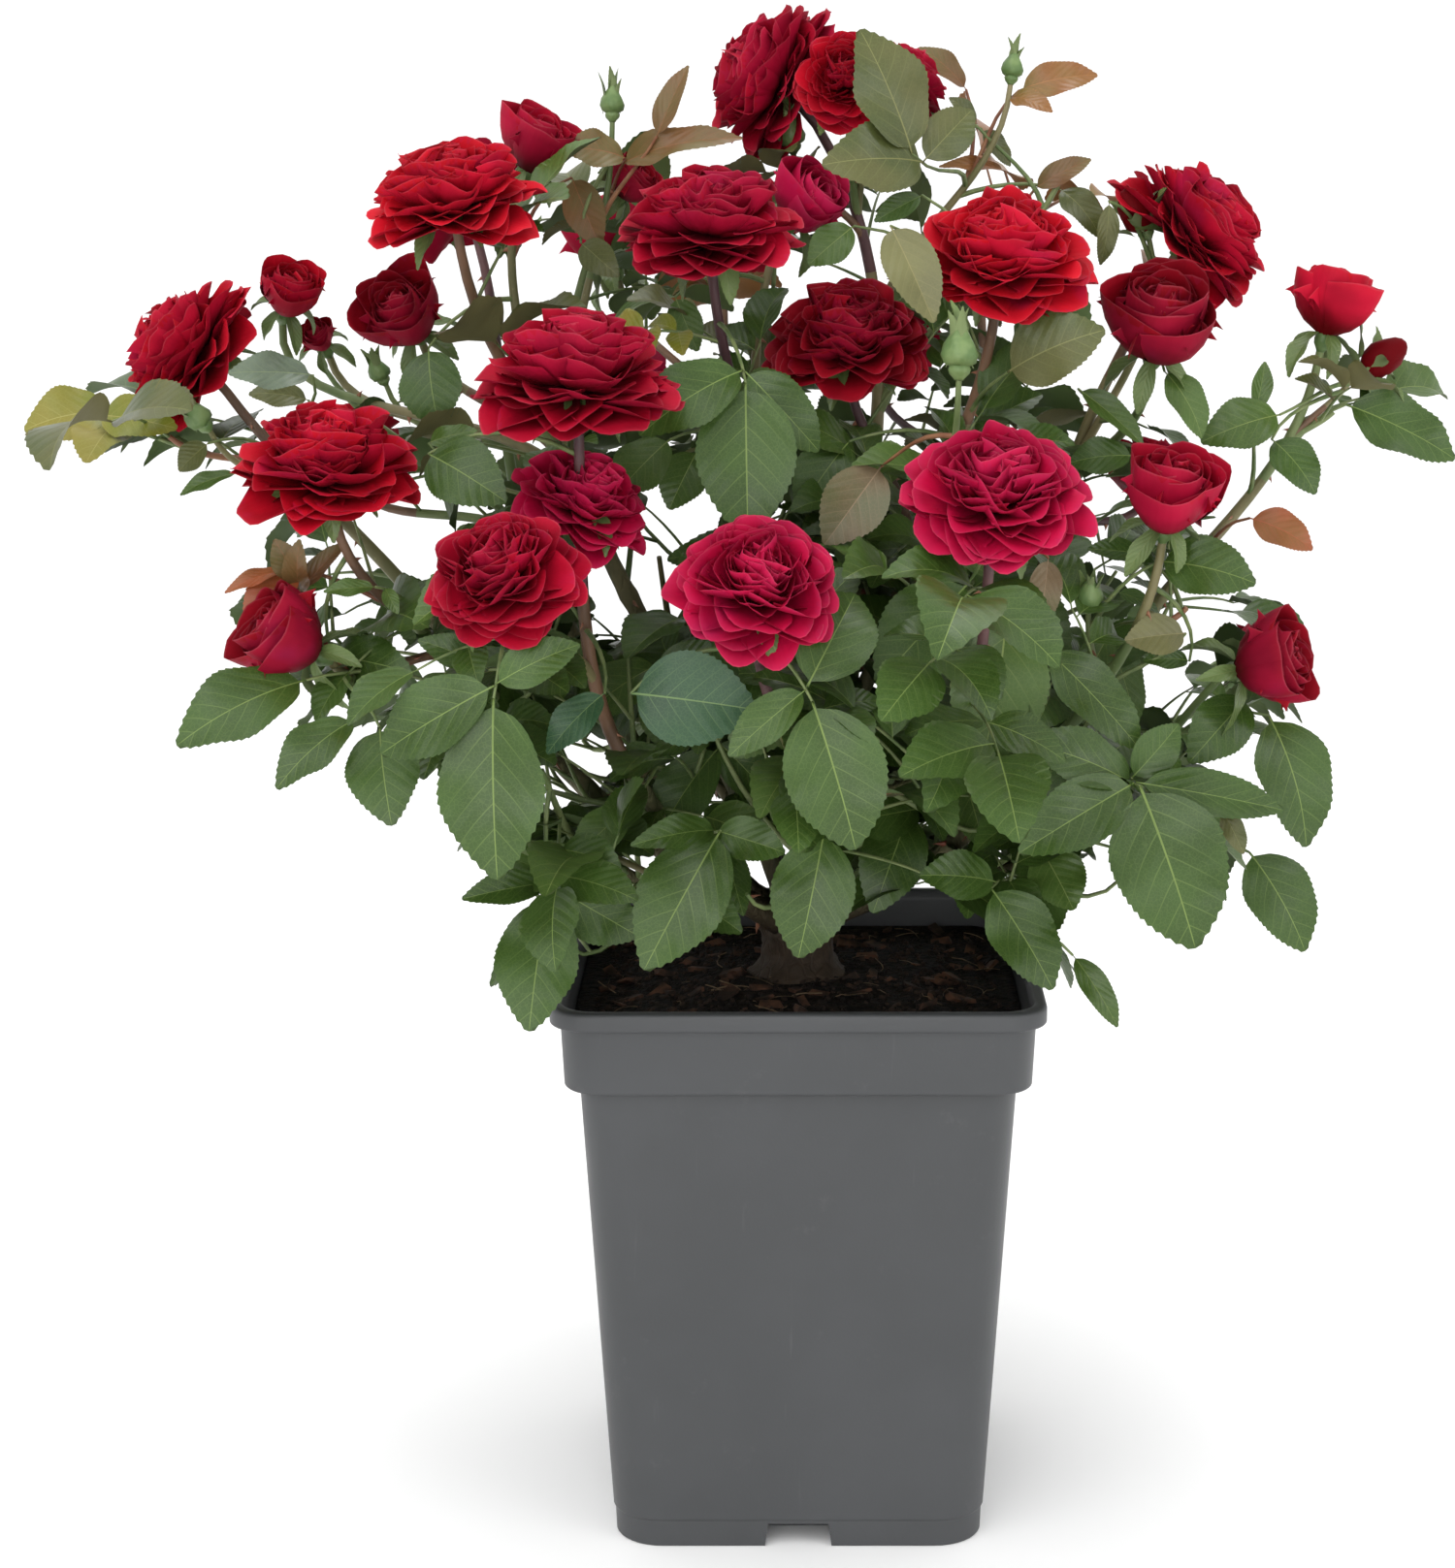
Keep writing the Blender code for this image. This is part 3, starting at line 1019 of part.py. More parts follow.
def fuse(name, meshes, material):
    """Join closed pieces into one body with a single Boolean union."""
    pieces = [new_object(name + "_piece", bm, material) for bm in meshes]
    first = pieces[0]
    first.name = name
    group = bpy.data.collections.new(name + "_pieces")
    bpy.context.scene.collection.children.link(group)
    for piece in pieces[1:]:
        bpy.context.scene.collection.objects.unlink(piece)
        group.objects.link(piece)
    union = first.modifiers.new("union", "BOOLEAN")
    union.operation = "UNION"
    union.operand_type = "COLLECTION"
    union.collection = group
    union.solver = "MANIFOLD"
    fused, sound = union_mesh(first)
    if not sound:
        for piece in pieces:
            cut_to_triangles(piece.data)
        fused, sound = union_mesh(first)
    first.modifiers.clear()
    first.data = fused
    for piece in pieces[1:]:
        bpy.data.objects.remove(piece)
    bpy.data.collections.remove(group)


def make_material(name, colour, roughness):
    material = bpy.data.materials.new(name)
    material.use_nodes = True
    shader = material.node_tree.nodes["Principled BSDF"]
    shader.inputs["Base Color"].default_value = (*colour, 1.0)
    shader.inputs["Roughness"].default_value = roughness
    shader.inputs["Metallic"].default_value = 0.0
    return material


def make_masses(limbs, stalks, leaves, foliage):
    """Place every piece of every mass clear of the others, then fuse mass by mass."""
    taken = Taken()
    for name, limb in limbs.items():
        bm = limb_mesh(limb)
        taken.add(name, "limb", bm)
        bm.free()
    kept = {mass: [] for mass, _ in MASSES}
    for stalk in stalks:
        stem = stalk_mesh(stalk)
        taken.add(stalk["mass"], "stalk", stem)
        kept[stalk["mass"]].append(stem)
        if stalk["form"] != "leafy":
            flower = flower_mesh(stalk)
            taken.add(stalk["mass"], "flower", flower)
            kept[stalk["mass"]].append(flower)
    for leaf in leaves:
        mass = leaf["mass"]
        petiole = leaf_mesh({**leaf, "blades": []})
        blades = [(blade, blade_mesh(blade)) for blade in leaf["blades"]]
        own_kinds = ("stalk", "petiole", "flower", "blade")
        free_kinds = own_kinds if leaf["large"] else ()
        clear = [row for row in blades if not taken.touches(mass, free_kinds, row[1])]
        if clear and not taken.touches(mass, own_kinds if leaf["large"] else own_kinds[:2], petiole):
            taken.add(mass, "petiole", petiole)
            for _, bm in clear:
                taken.add(mass, "blade", bm)
            kept[mass].append(leaf_mesh({**leaf, "blades": [blade for blade, _ in clear]}))
        for bm in [petiole] + [bm for _, bm in blades]:
            bm.free()
    for mass, _ in MASSES:
        fuse("mass_" + mass, kept[mass], foliage)


def main():
    for old in list(bpy.data.objects):
        bpy.data.objects.remove(old)
    plastic = make_material("pot_plastic", (0.105, 0.108, 0.119), 0.55)
    compost = make_material("compost", (0.022, 0.014, 0.010), 0.95)
    bark = make_material("bark", (0.130, 0.120, 0.050), 0.60)
    foliage = make_material("foliage", (0.060, 0.120, 0.045), 0.55)
    make_pot(plastic)
    make_soil(compost)
    make_stock(bark)
    limbs = grow_limbs()
    for name, limb in limbs.items():
        new_object(name, limb_mesh(limb), bark)
    stalks = grow_stalks(limbs)
    space = Space(stalks)
    leaves = grow_fans(stalks, space)
    leaves += grow_seeded_leaves(stalks, space)
    make_masses(limbs, stalks, leaves, foliage)


main()
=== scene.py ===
import json
import math
import random

import bmesh
import bpy
from mathutils import Euler, Matrix, Vector, noise
from mathutils.kdtree import KDTree

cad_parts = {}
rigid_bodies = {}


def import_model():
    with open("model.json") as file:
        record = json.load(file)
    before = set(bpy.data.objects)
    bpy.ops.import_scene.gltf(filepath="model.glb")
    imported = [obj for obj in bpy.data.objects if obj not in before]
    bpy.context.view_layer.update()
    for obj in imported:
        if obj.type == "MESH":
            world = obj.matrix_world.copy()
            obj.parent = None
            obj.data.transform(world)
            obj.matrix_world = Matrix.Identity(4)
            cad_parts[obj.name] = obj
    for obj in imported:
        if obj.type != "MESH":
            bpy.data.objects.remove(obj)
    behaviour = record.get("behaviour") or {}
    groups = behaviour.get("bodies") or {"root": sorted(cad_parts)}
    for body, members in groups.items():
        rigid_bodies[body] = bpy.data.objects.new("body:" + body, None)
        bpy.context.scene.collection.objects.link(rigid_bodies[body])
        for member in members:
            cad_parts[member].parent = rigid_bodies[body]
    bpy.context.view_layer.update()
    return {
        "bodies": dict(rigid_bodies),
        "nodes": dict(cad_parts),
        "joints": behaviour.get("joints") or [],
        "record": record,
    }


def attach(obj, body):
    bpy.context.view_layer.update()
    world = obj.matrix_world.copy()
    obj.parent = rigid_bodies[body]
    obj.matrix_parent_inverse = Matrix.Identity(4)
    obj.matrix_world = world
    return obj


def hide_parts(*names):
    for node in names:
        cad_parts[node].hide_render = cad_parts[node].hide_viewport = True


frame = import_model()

# ---------------------------------------------------------------- pot and compost
GAP = 0.0003
POT_HEIGHT = 0.240
LIP_WIDTH = 0.200
LIP_HEIGHT = 0.008
BAND_TOP_WIDTH = 0.192
BAND_FOOT_WIDTH = 0.1895
BAND_FOOT_Z = 0.204
BODY_TOP_WIDTH = 0.178
BODY_FOOT_WIDTH = 0.1568
FOOT_WIDTH = 0.1545
FOOT_HEIGHT = 0.0118
FLOOR_TOP = 0.015
WALL = 0.0022
LIP_CORNER = 0.016
FOOT_CORNER = 0.020
NOTCH_WIDTH = 0.028
NOTCH_HEIGHT = 0.0105
NOTCH_DEPTH = 0.020
SOIL_EDGE_Z = 0.2235
SOIL_TOP_Z = 0.229

STOCK_RADIUS = 0.016
STOCK_FLARE = 0.0215
STOCK_CENTRE_Z = SOIL_TOP_Z + GAP + 0.018


def metres(*lengths):
    return tuple(length / 1000 for length in lengths)


def table(text):
    """Rows of a table of words and whole numbers; lengths in it are in millimetres."""
    return [[int(cell) if cell.lstrip("-").isdigit() else cell for cell in line.split()]
            for line in text.strip().splitlines()]


# ---------------------------------------------------------- canes and shoots
# Name, what it grows from, where it starts, tip in x, y and z, radius at start and at tip
# in tenths of a millimetre.  The start on the stock is its turn and tilt up; on a cane it
# is the share of its length in hundredths.
LIMBS = [(name, parent, (turn, tilt) if parent == "stock" else turn / 100, metres(x, y, z),
          foot / 10000, end / 10000)
         for name, parent, turn, tilt, x, y, z, foot, end in table("""
cane_left stock 190 30 -150 -20 385 44 28
cane_front_left stock 233 26 -66 -84 335 44 28
cane_front stock 276 28 4 -90 315 40 26
cane_front_right stock 320 26 105 -64 345 44 28
cane_right stock 4 30 142 2 378 44 28
cane_back_right stock 50 28 92 86 390 42 26
cane_back stock 97 28 -50 96 315 40 26
cane_back_left stock 143 28 -112 86 385 42 26
cane_mid_left stock 150 66 -88 12 425 46 30
cane_mid stock 28 66 28 30 415 46 30
cane_mid_right stock 272 66 42 -30 400 44 28
shoot_left_front cane_left 55 0 -120 -66 360 28 24
shoot_low_left cane_front_left 30 0 -70 -50 285 26 23
shoot_centre_top cane_mid_left 50 0 -20 -18 415 30 26
shoot_back_centre cane_mid 45 0 -20 80 400 30 26
shoot_front_right cane_mid_right 35 0 52 -85 335 28 24
shoot_right_top cane_right 50 0 105 22 410 30 26
shoot_low_right cane_front_right 35 0 95 -30 285 28 24
shoot_back_low cane_back_right 35 0 50 92 305 26 23
""")]

# Each mass of foliage with the limb that carries it, then the mass's stalks: tip in x, y
# and z, width of the flower, its turn and tilt, form, colour.
MASSES = []
for row in table("""
left_tip cane_left
-249 -20 495 76 195 36 full red
-238 -50 472 14 215 50 bud green
-252 -36 462 0 185 10 leafy leaf
left_top cane_mid_left
-135 -60 560 74 240 72 full bright
-108 4 571 36 330 60 cup crimson
-159 0 505 42 250 40 cup dark
-212 22 511 31 300 55 cup red
-201 46 491 18 250 45 cup dark
-72 30 556 26 330 40 cup dark
-76 20 592 13 90 80 bud green
-176 30 482 12 220 60 bud green
left_front shoot_left_front
-176 -120 463 77 268 76 full red
-190 -120 394 44 205 35 cup dark
front_left cane_front_left
-82 -130 498 83 266 79 full crimson
-108 -172 429 65 250 52 full crimson
-80 -118 449 61 315 62 full pink
low_left shoot_low_left
-98 -125 345 0 235 40 leafy leaf
-86 -112 292 0 235 10 leafy leaf
-30 -122 300 0 275 15 leafy leaf
-42 -62 372 0 80 70 leafy leaf
centre_top shoot_centre_top
-34 -70 550 77 262 75 full crimson
1 -14 550 37 320 40 cup pink
crown_top cane_mid
-14 30 601 78 195 26 full crimson
19 -4 602 49 262 30 full red
44 30 602 50 20 50 full crimson
-3 16 580 15 250 70 bud green
88 30 606 12 60 75 bud green
108 28 560 0 10 45 leafy leaf
centre_high cane_mid_right
78 -80 538 79 280 64 full bright
20 -50 503 71 270 60 full dark
60 -122 504 18 80 80 bud green
front_centre cane_front
-14 -170 426 69 280 50 full pink
front_right shoot_front_right
73 -160 458 75 280 55 full pink
right_top shoot_right_top
164 0 543 79 345 44 full red
141 -50 505 53 275 57 cup dark
138 -4 546 15 200 60 bud red
right_tip cane_right
217 0 507 41 10 76 cup bright
236 0 488 16 350 35 bud red
220 0 468 0 355 15 leafy leaf
right_front cane_front_right
142 -100 443 45 285 66 cup crimson
114 -80 405 14 270 60 bud green
152 -80 400 0 320 20 leafy leaf
low_right shoot_low_right
181 -78 377 44 335 20 cup dark
128 -118 335 0 310 20 leafy leaf
165 -64 310 0 335 5 leafy leaf
82 -104 290 0 290 10 leafy leaf
94 -20 372 0 80 70 leafy leaf
36 -40 330 0 180 40 leafy leaf
back_left cane_back_left
-150 100 553 64 140 45 full crimson
-212 116 436 70 160 40 full red
-98 192 470 76 115 45 full pink
-205 70 480 0 165 35 leafy leaf
back_centre shoot_back_centre
-35 140 540 72 95 50 full red
-86 160 524 44 125 60 cup crimson
14 140 462 0 80 30 leafy leaf
back_right cane_back_right
85 132 520 70 70 52 full bright
165 125 424 58 30 40 full dark
36 208 482 70 85 45 full crimson
back_low_left cane_back
-30 204 366 66 100 35 full red
-134 180 374 64 130 35 full crimson
-100 140 300 0 130 10 leafy leaf
-150 50 330 0 170 20 leafy leaf
-60 50 400 0 250 60 leafy leaf
back_low_right shoot_back_low
90 198 406 74 65 40 full pink
207 120 338 44 30 25 cup dark
60 150 295 0 75 10 leafy leaf
150 64 325 0 20 15 leafy leaf
20 40 350 0 220 50 leafy leaf
"""):
    if len(row) == 2:
        MASSES.append((*row, []))
    else:
        MASSES[-1][2].append((metres(*row[:3]), row[3] / 1000, *row[4:]))

# Large leaves: mass, colour, node in x, y and z, then for each leaflet its tip and its
# breadth in hundredths of its length.
FANS = [(row[0], row[1], metres(*row[2:5]),
         [(*metres(*row[i:i + 3]), row[i + 3] / 100) for i in range(5, len(row), 4)])
        for row in table("""
left_tip lime -275 -30 471 -309 -40 465 72 -280 -60 452 68
left_tip lime -278 -40 471 -244 -60 468 48
left_tip silver -190 -60 489 -221 -72 491 46
left_top bronze -70 10 570 -96 0 574 60 -21 -6 577 26
left_top bronze -93 20 562 -81 10 534 52
left_top deep -149 -20 496 -144 -30 464 76
left_front deep -186 -130 381 -232 -150 360 52
left_front deep -156 -150 367 -150 -170 334 70
left_front red -197 -100 418 -219 -110 411 26 -211 -110 398 60
left_front deep -180 -100 385 -147 -120 382 54
front_left deep -110 -185 385 -109 -195 320 58 -151 -175 362 54 -79 -175 401 50
front_left teal -72 -150 380 -93 -160 359 48
front_left deep -141 -100 463 -110 -118 447 68
low_left deep -97 -122 294 -103 -145 247 60 -129 -140 297 37 -64 -112 276 58
low_left deep -30 -120 320 -59 -140 270 56 -65 -140 318 34 -5 -120 310 60
low_left mid -65 -100 325 -88 -110 305 52
centre_top deep -20 -100 490 -19 -120 433 62 -60 -110 470 55 6 -90 463 52
centre_top mid -50 -70 465 -72 -80 443 66
crown_top olive 45 -30 573 24 -30 621 60 8 -45 568 62 68 -10 587 64
crown_top orange 91 30 597 123 30 603 46 104 20 586 52
crown_top bronze 70 50 597 50 50 614 42
crown_top bronze 98 30 557 121 30 569 40
centre_high pale 35 -85 548 51 -105 513 48
centre_high olive 80 -90 493 116 -100 510 70
centre_high deep 20 -60 463 0 -70 436 66
centre_high pink 32 -90 457 10 -100 428 66
front_centre deep 5 -175 382 21 -182 328 66 -25 -180 362 44 20 -140 412 66
front_centre deep 10 -120 320 0 -130 272 64
front_centre teal -62 -155 381 -15 -162 376 74
front_right deep 65 -110 415 30 -122 378 66
front_right mid 80 -100 400 70 -112 343 66
front_right pink 96 -100 423 92 -110 397 46
right_tip deep 225 0 471 270 -4 449 57
right_tip deep 192 -20 459 209 -30 438 68
right_tip red 183 -28 428 208 -34 416 60
right_front deep 140 -90 420 176 -100 413 66
low_right deep 187 -70 355 202 -82 304 60
right_front pale 152 -80 390 127 -90 389 62
low_right deep 130 -130 340 151 -145 280 70 83 -142 316 48 185 -112 325 30
low_right deep 96 -100 387 132 -112 350 43
low_right deep 181 -70 299 203 -82 261 63
low_right deep 75 -112 295 99 -122 257 60 46 -114 300 62
low_right mid 111 -70 256 129 -78 228 34
low_right mid 96 -90 305 108 -104 284 84
left_front deep -165 -150 370 -192 -170 348 48
left_front bronze -192 -100 415 -200 -105 431 68 -188 -110 433 46 -172 -95 426 34
front_left deep -115 -150 389 -141 -150 400 44
front_left mid -142 -90 466 -122 -100 472 36
low_right deep 128 -120 341 146 -115 361 60 81 -125 356 42
right_tip mid 195 -20 469 162 -30 459 60
low_right deep 178 -70 362 154 -85 339 64
left_tip olive -234 -50 461 -246 -50 450 74
left_tip mid -223 -50 449 -245 -55 441 30
left_tip olive -195 -40 477 -218 -45 480 50
left_top olive -89 10 536 -73 0 523 60
crown_top olive 73 30 583 62 30 594 52
crown_top olive 108 30 557 125 20 537 58
crown_top olive 76 35 581 88 35 566 50
crown_top orange 86 40 564 58 30 566 20
centre_high mid 22 -30 545 4 -35 530 66
centre_high deep 49 -30 557 30 -35 547 46
low_right olive 163 -120 328 171 -125 312 50
left_top bronze -57 0 579 -44 0 607 34
right_tip mid 185 -20 470 189 -15 490 42
right_top mid 145 -45 489 160 -50 463 55
right_top deep 133 -50 456 107 -50 453 60
right_top mid 111 -45 482 137 -50 460 34
centre_top mid -40 -50 458 -51 -60 436 75
centre_top mid -49 -30 517 -40 -35 496 60
centre_top olive -12 0 506 -16 0 483 42
left_front mid -160 -120 415 -179 -125 414 36 -151 -120 404 50
right_front deep 155 -70 377 136 -75 378 48
right_front deep 137 -60 418 114 -65 421 42
right_top olive 124 -20 554 121 -20 529 36
low_left mid -56 -50 372 -88 -60 350 55 -50 -62 336 50 -26 -50 376 50
low_left deep -32 -62 340 -56 -72 305 55 -6 -62 314 50
low_left deep -30 -60 300 -22 -76 274 46 -48 -62 268 55
front_centre mid -1 -90 376 -25 -100 344 66
centre_high mid 79 -45 400 89 -60 349 50 108 -50 372 66 50 -45 380 66
right_front mid 124 -40 382 136 -50 345 42 106 -50 352 42
low_right mid 68 -50 330 104 -60 329 52 74 -62 298 62
low_right deep 45 -52 311 30 -72 274 60 14 -70 309 50
""")]

# The crown's greatest reach from the pot's axis at each height.
CROWN_REACH = (
    (0.235, 0.150), (0.270, 0.205), (0.310, 0.235), (0.360, 0.262), (0.420, 0.270),
    (0.465, 0.312), (0.500, 0.285), (0.545, 0.215), (0.575, 0.165), (0.600, 0.125), (0.634, 0.070),
)

# Clear sky between the sprays, and clear compost, as they are seen from the front at the
# eye's place: x and z where the line of sight crosses the plane of the pot's axis, radius.
EYE = (0.0, -1.325, 0.614)
SKY = [metres(*row[i:i + 3]) for row in table("""
-185 550 32 -225 555 30 -120 597 20 -60 592 10 -172 492 16 -137 522 12 -118 512 8 -136 478 8 -163 412 14
-182 408 10 -238 412 20 -188 386 8 -60 392 10 -54 432 10 -194 326 8 -155 300 12 -190 272 45 -235 300 30
-155 258 22 -87 322 8 -45 307 5 -62 268 8 77 612 10 110 588 10 135 590 20 121 571 6 127 532 10
185 505 16 190 488 12 180 473 8 136 484 6 227 451 10 250 415 32 188 404 8 123 407 5 112 383 5 167 385 9
169 371 8 146 350 7 191 287 6 189 264 8 130 283 6 128 260 10 75 298 6 32 357 5 245 350 32 245 300 36
230 250 30 165 225 25 300 465 34 290 505 30 -85 228 14 -45 235 10 -10 243 14 -40 210 28 20 220 28
55 228 24 85 212 18 -80 202 18 -255 365 9 -244 378 10 -234 386 7 -118 458 12 -152 425 7 -177 416 8
-197 486 6 -79 392 9 -78 379 6 -134 247 7 -99 310 9 -79 331 7 -159 359 6 -167 470 6 126 255 15 137 236 9
221 398 11 202 406 6 211 429 9 146 469 8 185 316 10 125 429 7 9 518 6 118 516 6 59 560 8 142 340 6
247 499 8 -139 271 7 -98 519 7 122 480 8 -81 375 4 -40 423 6 -52 420 6 152 344 5 163 340 5 220 401 8
-115 254 5
""") for i in range(0, len(row), 3)]
SKY_MARGIN = 0.008           # how far a leaflet's middle keeps from the sky

# Compound leaves along the stalks.
LEAF_STEP = 0.0285           # between leaves along a stalk
LEAF_STALK = 0.050           # from the stem to the leaflet at the end
PAIR_SHARE = 0.88            # places of the pairs of leaflets along the petiole
LOW_PAIR_SHARE = 0.52
LEAFLET_LENGTH = 0.045
LEAF_SPREAD = (0.85, 1.2)    # smallest and largest leaf, as shares of the usual one
YOUNG_SIZE = 0.70            # size of the leaves at the crown's top
YOUNG_FROM = 0.43            # height from which the leaves get smaller
LEAFLET_SHAPE = 0.62         # width to length
LEAF_ROOM = 0.0228           # least distance between the middles of leaflets
FLOWER_VIEW = 0.09           # depth in front of a flower where no leaf grows
CELL_SLACK = 0.006           # how far a leaflet may pass the middle between two masses
LEAFLET_TIP_SLACK = 0.008    # and its tip beyond that
BLADE_MIDDLE = 0.55          # share of a leaflet's length that counts as its middle
LEAF_LEAST = 3               # leaflets that must find room, or the leaf isn't grown
LEAF_ATTEMPTS = 8            # turns round the stalk that are tried for each leaf
GOLDEN_TURN = math.radians(137.5)   # the first of them, on from the leaf before
NEXT_TURN = math.radians(61)        # and each further one
CLEAR_OF_POT = 0.004         # beside the lip
LEAF_ABOVE_POT = 0.012       # least height of a leaf over the pot
LEAF_BELOW_LIP = 0.020       # how far a leaf may hang down beside it


# ---------------------------------------------------------- how the bush is dressed
# Leaves between those of the solids, smaller and closer together.
FILL_STEP = 0.011            # between them along a stalk
FILL_SIZE = (0.60, 0.95)     # as shares of the usual leaf
VIEW_DEPTH = 0.03            # blooms nearer than this stay in view
FLOWER_SHOWN = 0.45          # radius kept clear before a bloom, over its width
LEAF_SHOWN = 0.34            # and before a leaflet of a fan, over its length
FILL_ROOM = 0.0125           # least distance between the middles of leaflets
FILL_ATTEMPTS = 6
FILL_LEAST_LEAFLETS = 2
FILL_THINS = (0.33, 0.46)    # heights between which the small leaves get fewer
FILL_LEAST = 0.16            # and the share of them that is left above
TWIG_STEP = 0.010            # between leafy twigs along a cane
TWIG_FROM = 0.34             # share of the cane where they start
TWIG_LENGTH = (0.035, 0.085)
TWIG_RADIUS = 0.0011
TWIG_LEAVES = 4

FULL_PETALS = 86
CUP_PETALS = 24
LOW_PETALS = 0.17            # how much shorter a bloom's petals are on its under side
HIP_LENGTH = 0.0085
HIP_RADIUS = 0.0040
STALK_TIP_RADIUS = {"full": 0.0017, "cup": 0.0015, "bud": 0.0010, "leafy": 0.0010}
FLOWER_FOOT = {"full": 0.20, "cup": 0.34, "bud": 0.60, "leafy": 0.0}  # stalk's end, in widths
STALK_INTO_FLOWER = 0.004
FORK_ANGLE = 35              # between a leading stalk and one that forks off it
SHOOT_ANGLE = 42             # least angle between a cane and its side shoot
PETIOLE_RADIUS = 0.0012
FAN_REACH = 0.042            # usual length of a large leaf's petiole


# ================================================================ growth rule
def direction(turn, tilt):
    """Unit vector that points turn degrees round from +X and tilt degrees up."""
    a = math.radians(turn)
    e = math.radians(tilt)
    return Vector((math.cos(e) * math.cos(a), math.cos(e) * math.sin(a), math.sin(e)))


def along(curve, t):
    """Point of a cubic curve."""
    a, b, c, d = curve
    s = 1.0 - t
    return a * s ** 3 + b * (3 * s * s * t) + c * (3 * s * t * t) + d * t ** 3


def heading(curve, t):
    """Unit direction of a cubic curve."""
    a, b, c, d = curve
    s = 1.0 - t
    return ((b - a) * (s * s) + (c - b) * (2 * s * t) + (d - c) * (t * t)).normalized()


def stations(curve, steps):
    """Points of a curve, evenly stepped, both ends among them."""
    return [along(curve, k / steps) for k in range(steps + 1)]


def stem_length(curve):
    points = stations(curve, 8)
    return sum((a - b).length for a, b in zip(points, points[1:]))


def lerp(a, b, t):
    return a + (b - a) * t


def taper(first, last, steps):
    """Numbers from first to last, evenly stepped."""
    return [lerp(first, last, k / steps) for k in range(steps + 1)]


def bend(start, start_way, end, end_way, reach=0.36):
    """Cubic curve that leaves start along start_way and arrives at end along end_way."""
    span = (end - start).length * reach
    return (start, start + start_way * span, end - end_way * span, end)


def across(way, hint):
    """The part of hint that is square to way."""
    side = hint - way * hint.dot(way)
    if side.length < 1e-4:
        side = way.orthogonal()
    return side.normalized()


def round_stem(way, turn):
    """Unit vector square to a stem's way, turned round it by an angle in radians."""
    side = across(way, way.orthogonal())
    return side * math.cos(turn) + way.cross(side) * math.sin(turn)


def level(turn):
    """Level unit vector, turned by an angle in radians."""
    return Vector((math.cos(turn), math.sin(turn), 0.0))


UP = Vector((0.0, 0.0, 1.0))
FRONT = Vector((0.0, -1.0, 0.0))
STOCK_CENTRE = Vector((0.0, 0.0, STOCK_CENTRE_Z))


def outward(point):
    """Level direction away from the pot's axis."""
    flat = Vector((point.x, point.y, 0.0))
    return flat.normalized() if flat.length > 1e-4 else FRONT.copy()


def grow_limbs():
    """Canes off the stock and side shoots off the canes, each one tapering curve."""
    limbs = {}
    for name, parent, root, tip, base_radius, tip_radius in LIMBS:
        end = Vector(tip)
        if parent == "stock":
            way = direction(*root)
            start = STOCK_CENTRE + way * (STOCK_RADIUS + GAP)
        else:
            host, host_base, host_tip = limbs[parent]
            fork = along(host, root)
            host_way = heading(host, root)
            aim = (end - fork).normalized()
            side = across(host_way, aim)
            lean = max(aim.angle(host_way), math.radians(SHOOT_ANGLE))
            way = host_way * math.cos(lean) + side * math.sin(lean)
            stand_off = lerp(host_base, host_tip, root) + 2 * GAP + base_radius * math.cos(lean)
            start = fork + way * (stand_off / math.sin(lean))
        end_way = ((end - start).normalized() + UP * 0.5 + outward(end) * 0.15).normalized()
        limbs[name] = (bend(start, way, end, end_way), base_radius, tip_radius)
    return limbs


def grow_stalks(limbs):
    """Stalks of each mass: the first leads on from the limb, the others fork off it."""
    stalks = []
    for mass, limb_name, rows in MASSES:
        limb, _, limb_tip = limbs[limb_name]
        own = []
        for end, width, turn, tilt, form, tint in rows:
            face = direction(turn, tilt)
            foot = Vector(end) - face * (FLOWER_FOOT[form] * width)
            arrive = (face + UP * 0.7).normalized()
            tip_radius = STALK_TIP_RADIUS[form]
            if not own:
                way = heading(limb, 1.0)
                start = along(limb, 1.0) + way * GAP
                radius = limb_tip
            else:
                start, way, radius = best_fork(own[0], foot)
            curve = bend(start, way, foot, arrive)
            own.append({"mass": mass, "curve": curve, "radius": radius, "tip_radius": tip_radius,
                        "centre": Vector(end), "face": face, "width": width, "form": form,
                        "tint": tint})
        stalks.extend(own)
    return stalks


def best_fork(leader, foot):
    """Low place on the leading stalk where a stalk to foot parts at the usual angle."""
    def cost(t):
        way = heading(leader["curve"], t)
        angle = math.degrees((foot - along(leader["curve"], t)).angle(way))
        return abs(angle - FORK_ANGLE) + t * 12

    t = min((step / 20.0 for step in range(2, 15)), key=cost)
    place = along(leader["curve"], t)
    way = heading(leader["curve"], t)
    start_way = (way + (foot - place).normalized()).normalized()
    return place, start_way, lerp(leader["radius"], leader["tip_radius"], t) * 0.82


def reach_at(z):
    """The crown's reach at height z."""
    rows = CROWN_REACH
    if z <= rows[0][0]:
        return rows[0][1]
    for (low, near), (high, far) in zip(rows, rows[1:]):
        if z <= high:
            return near + (far - near) * (z - low) / (high - low)
    return 0.0


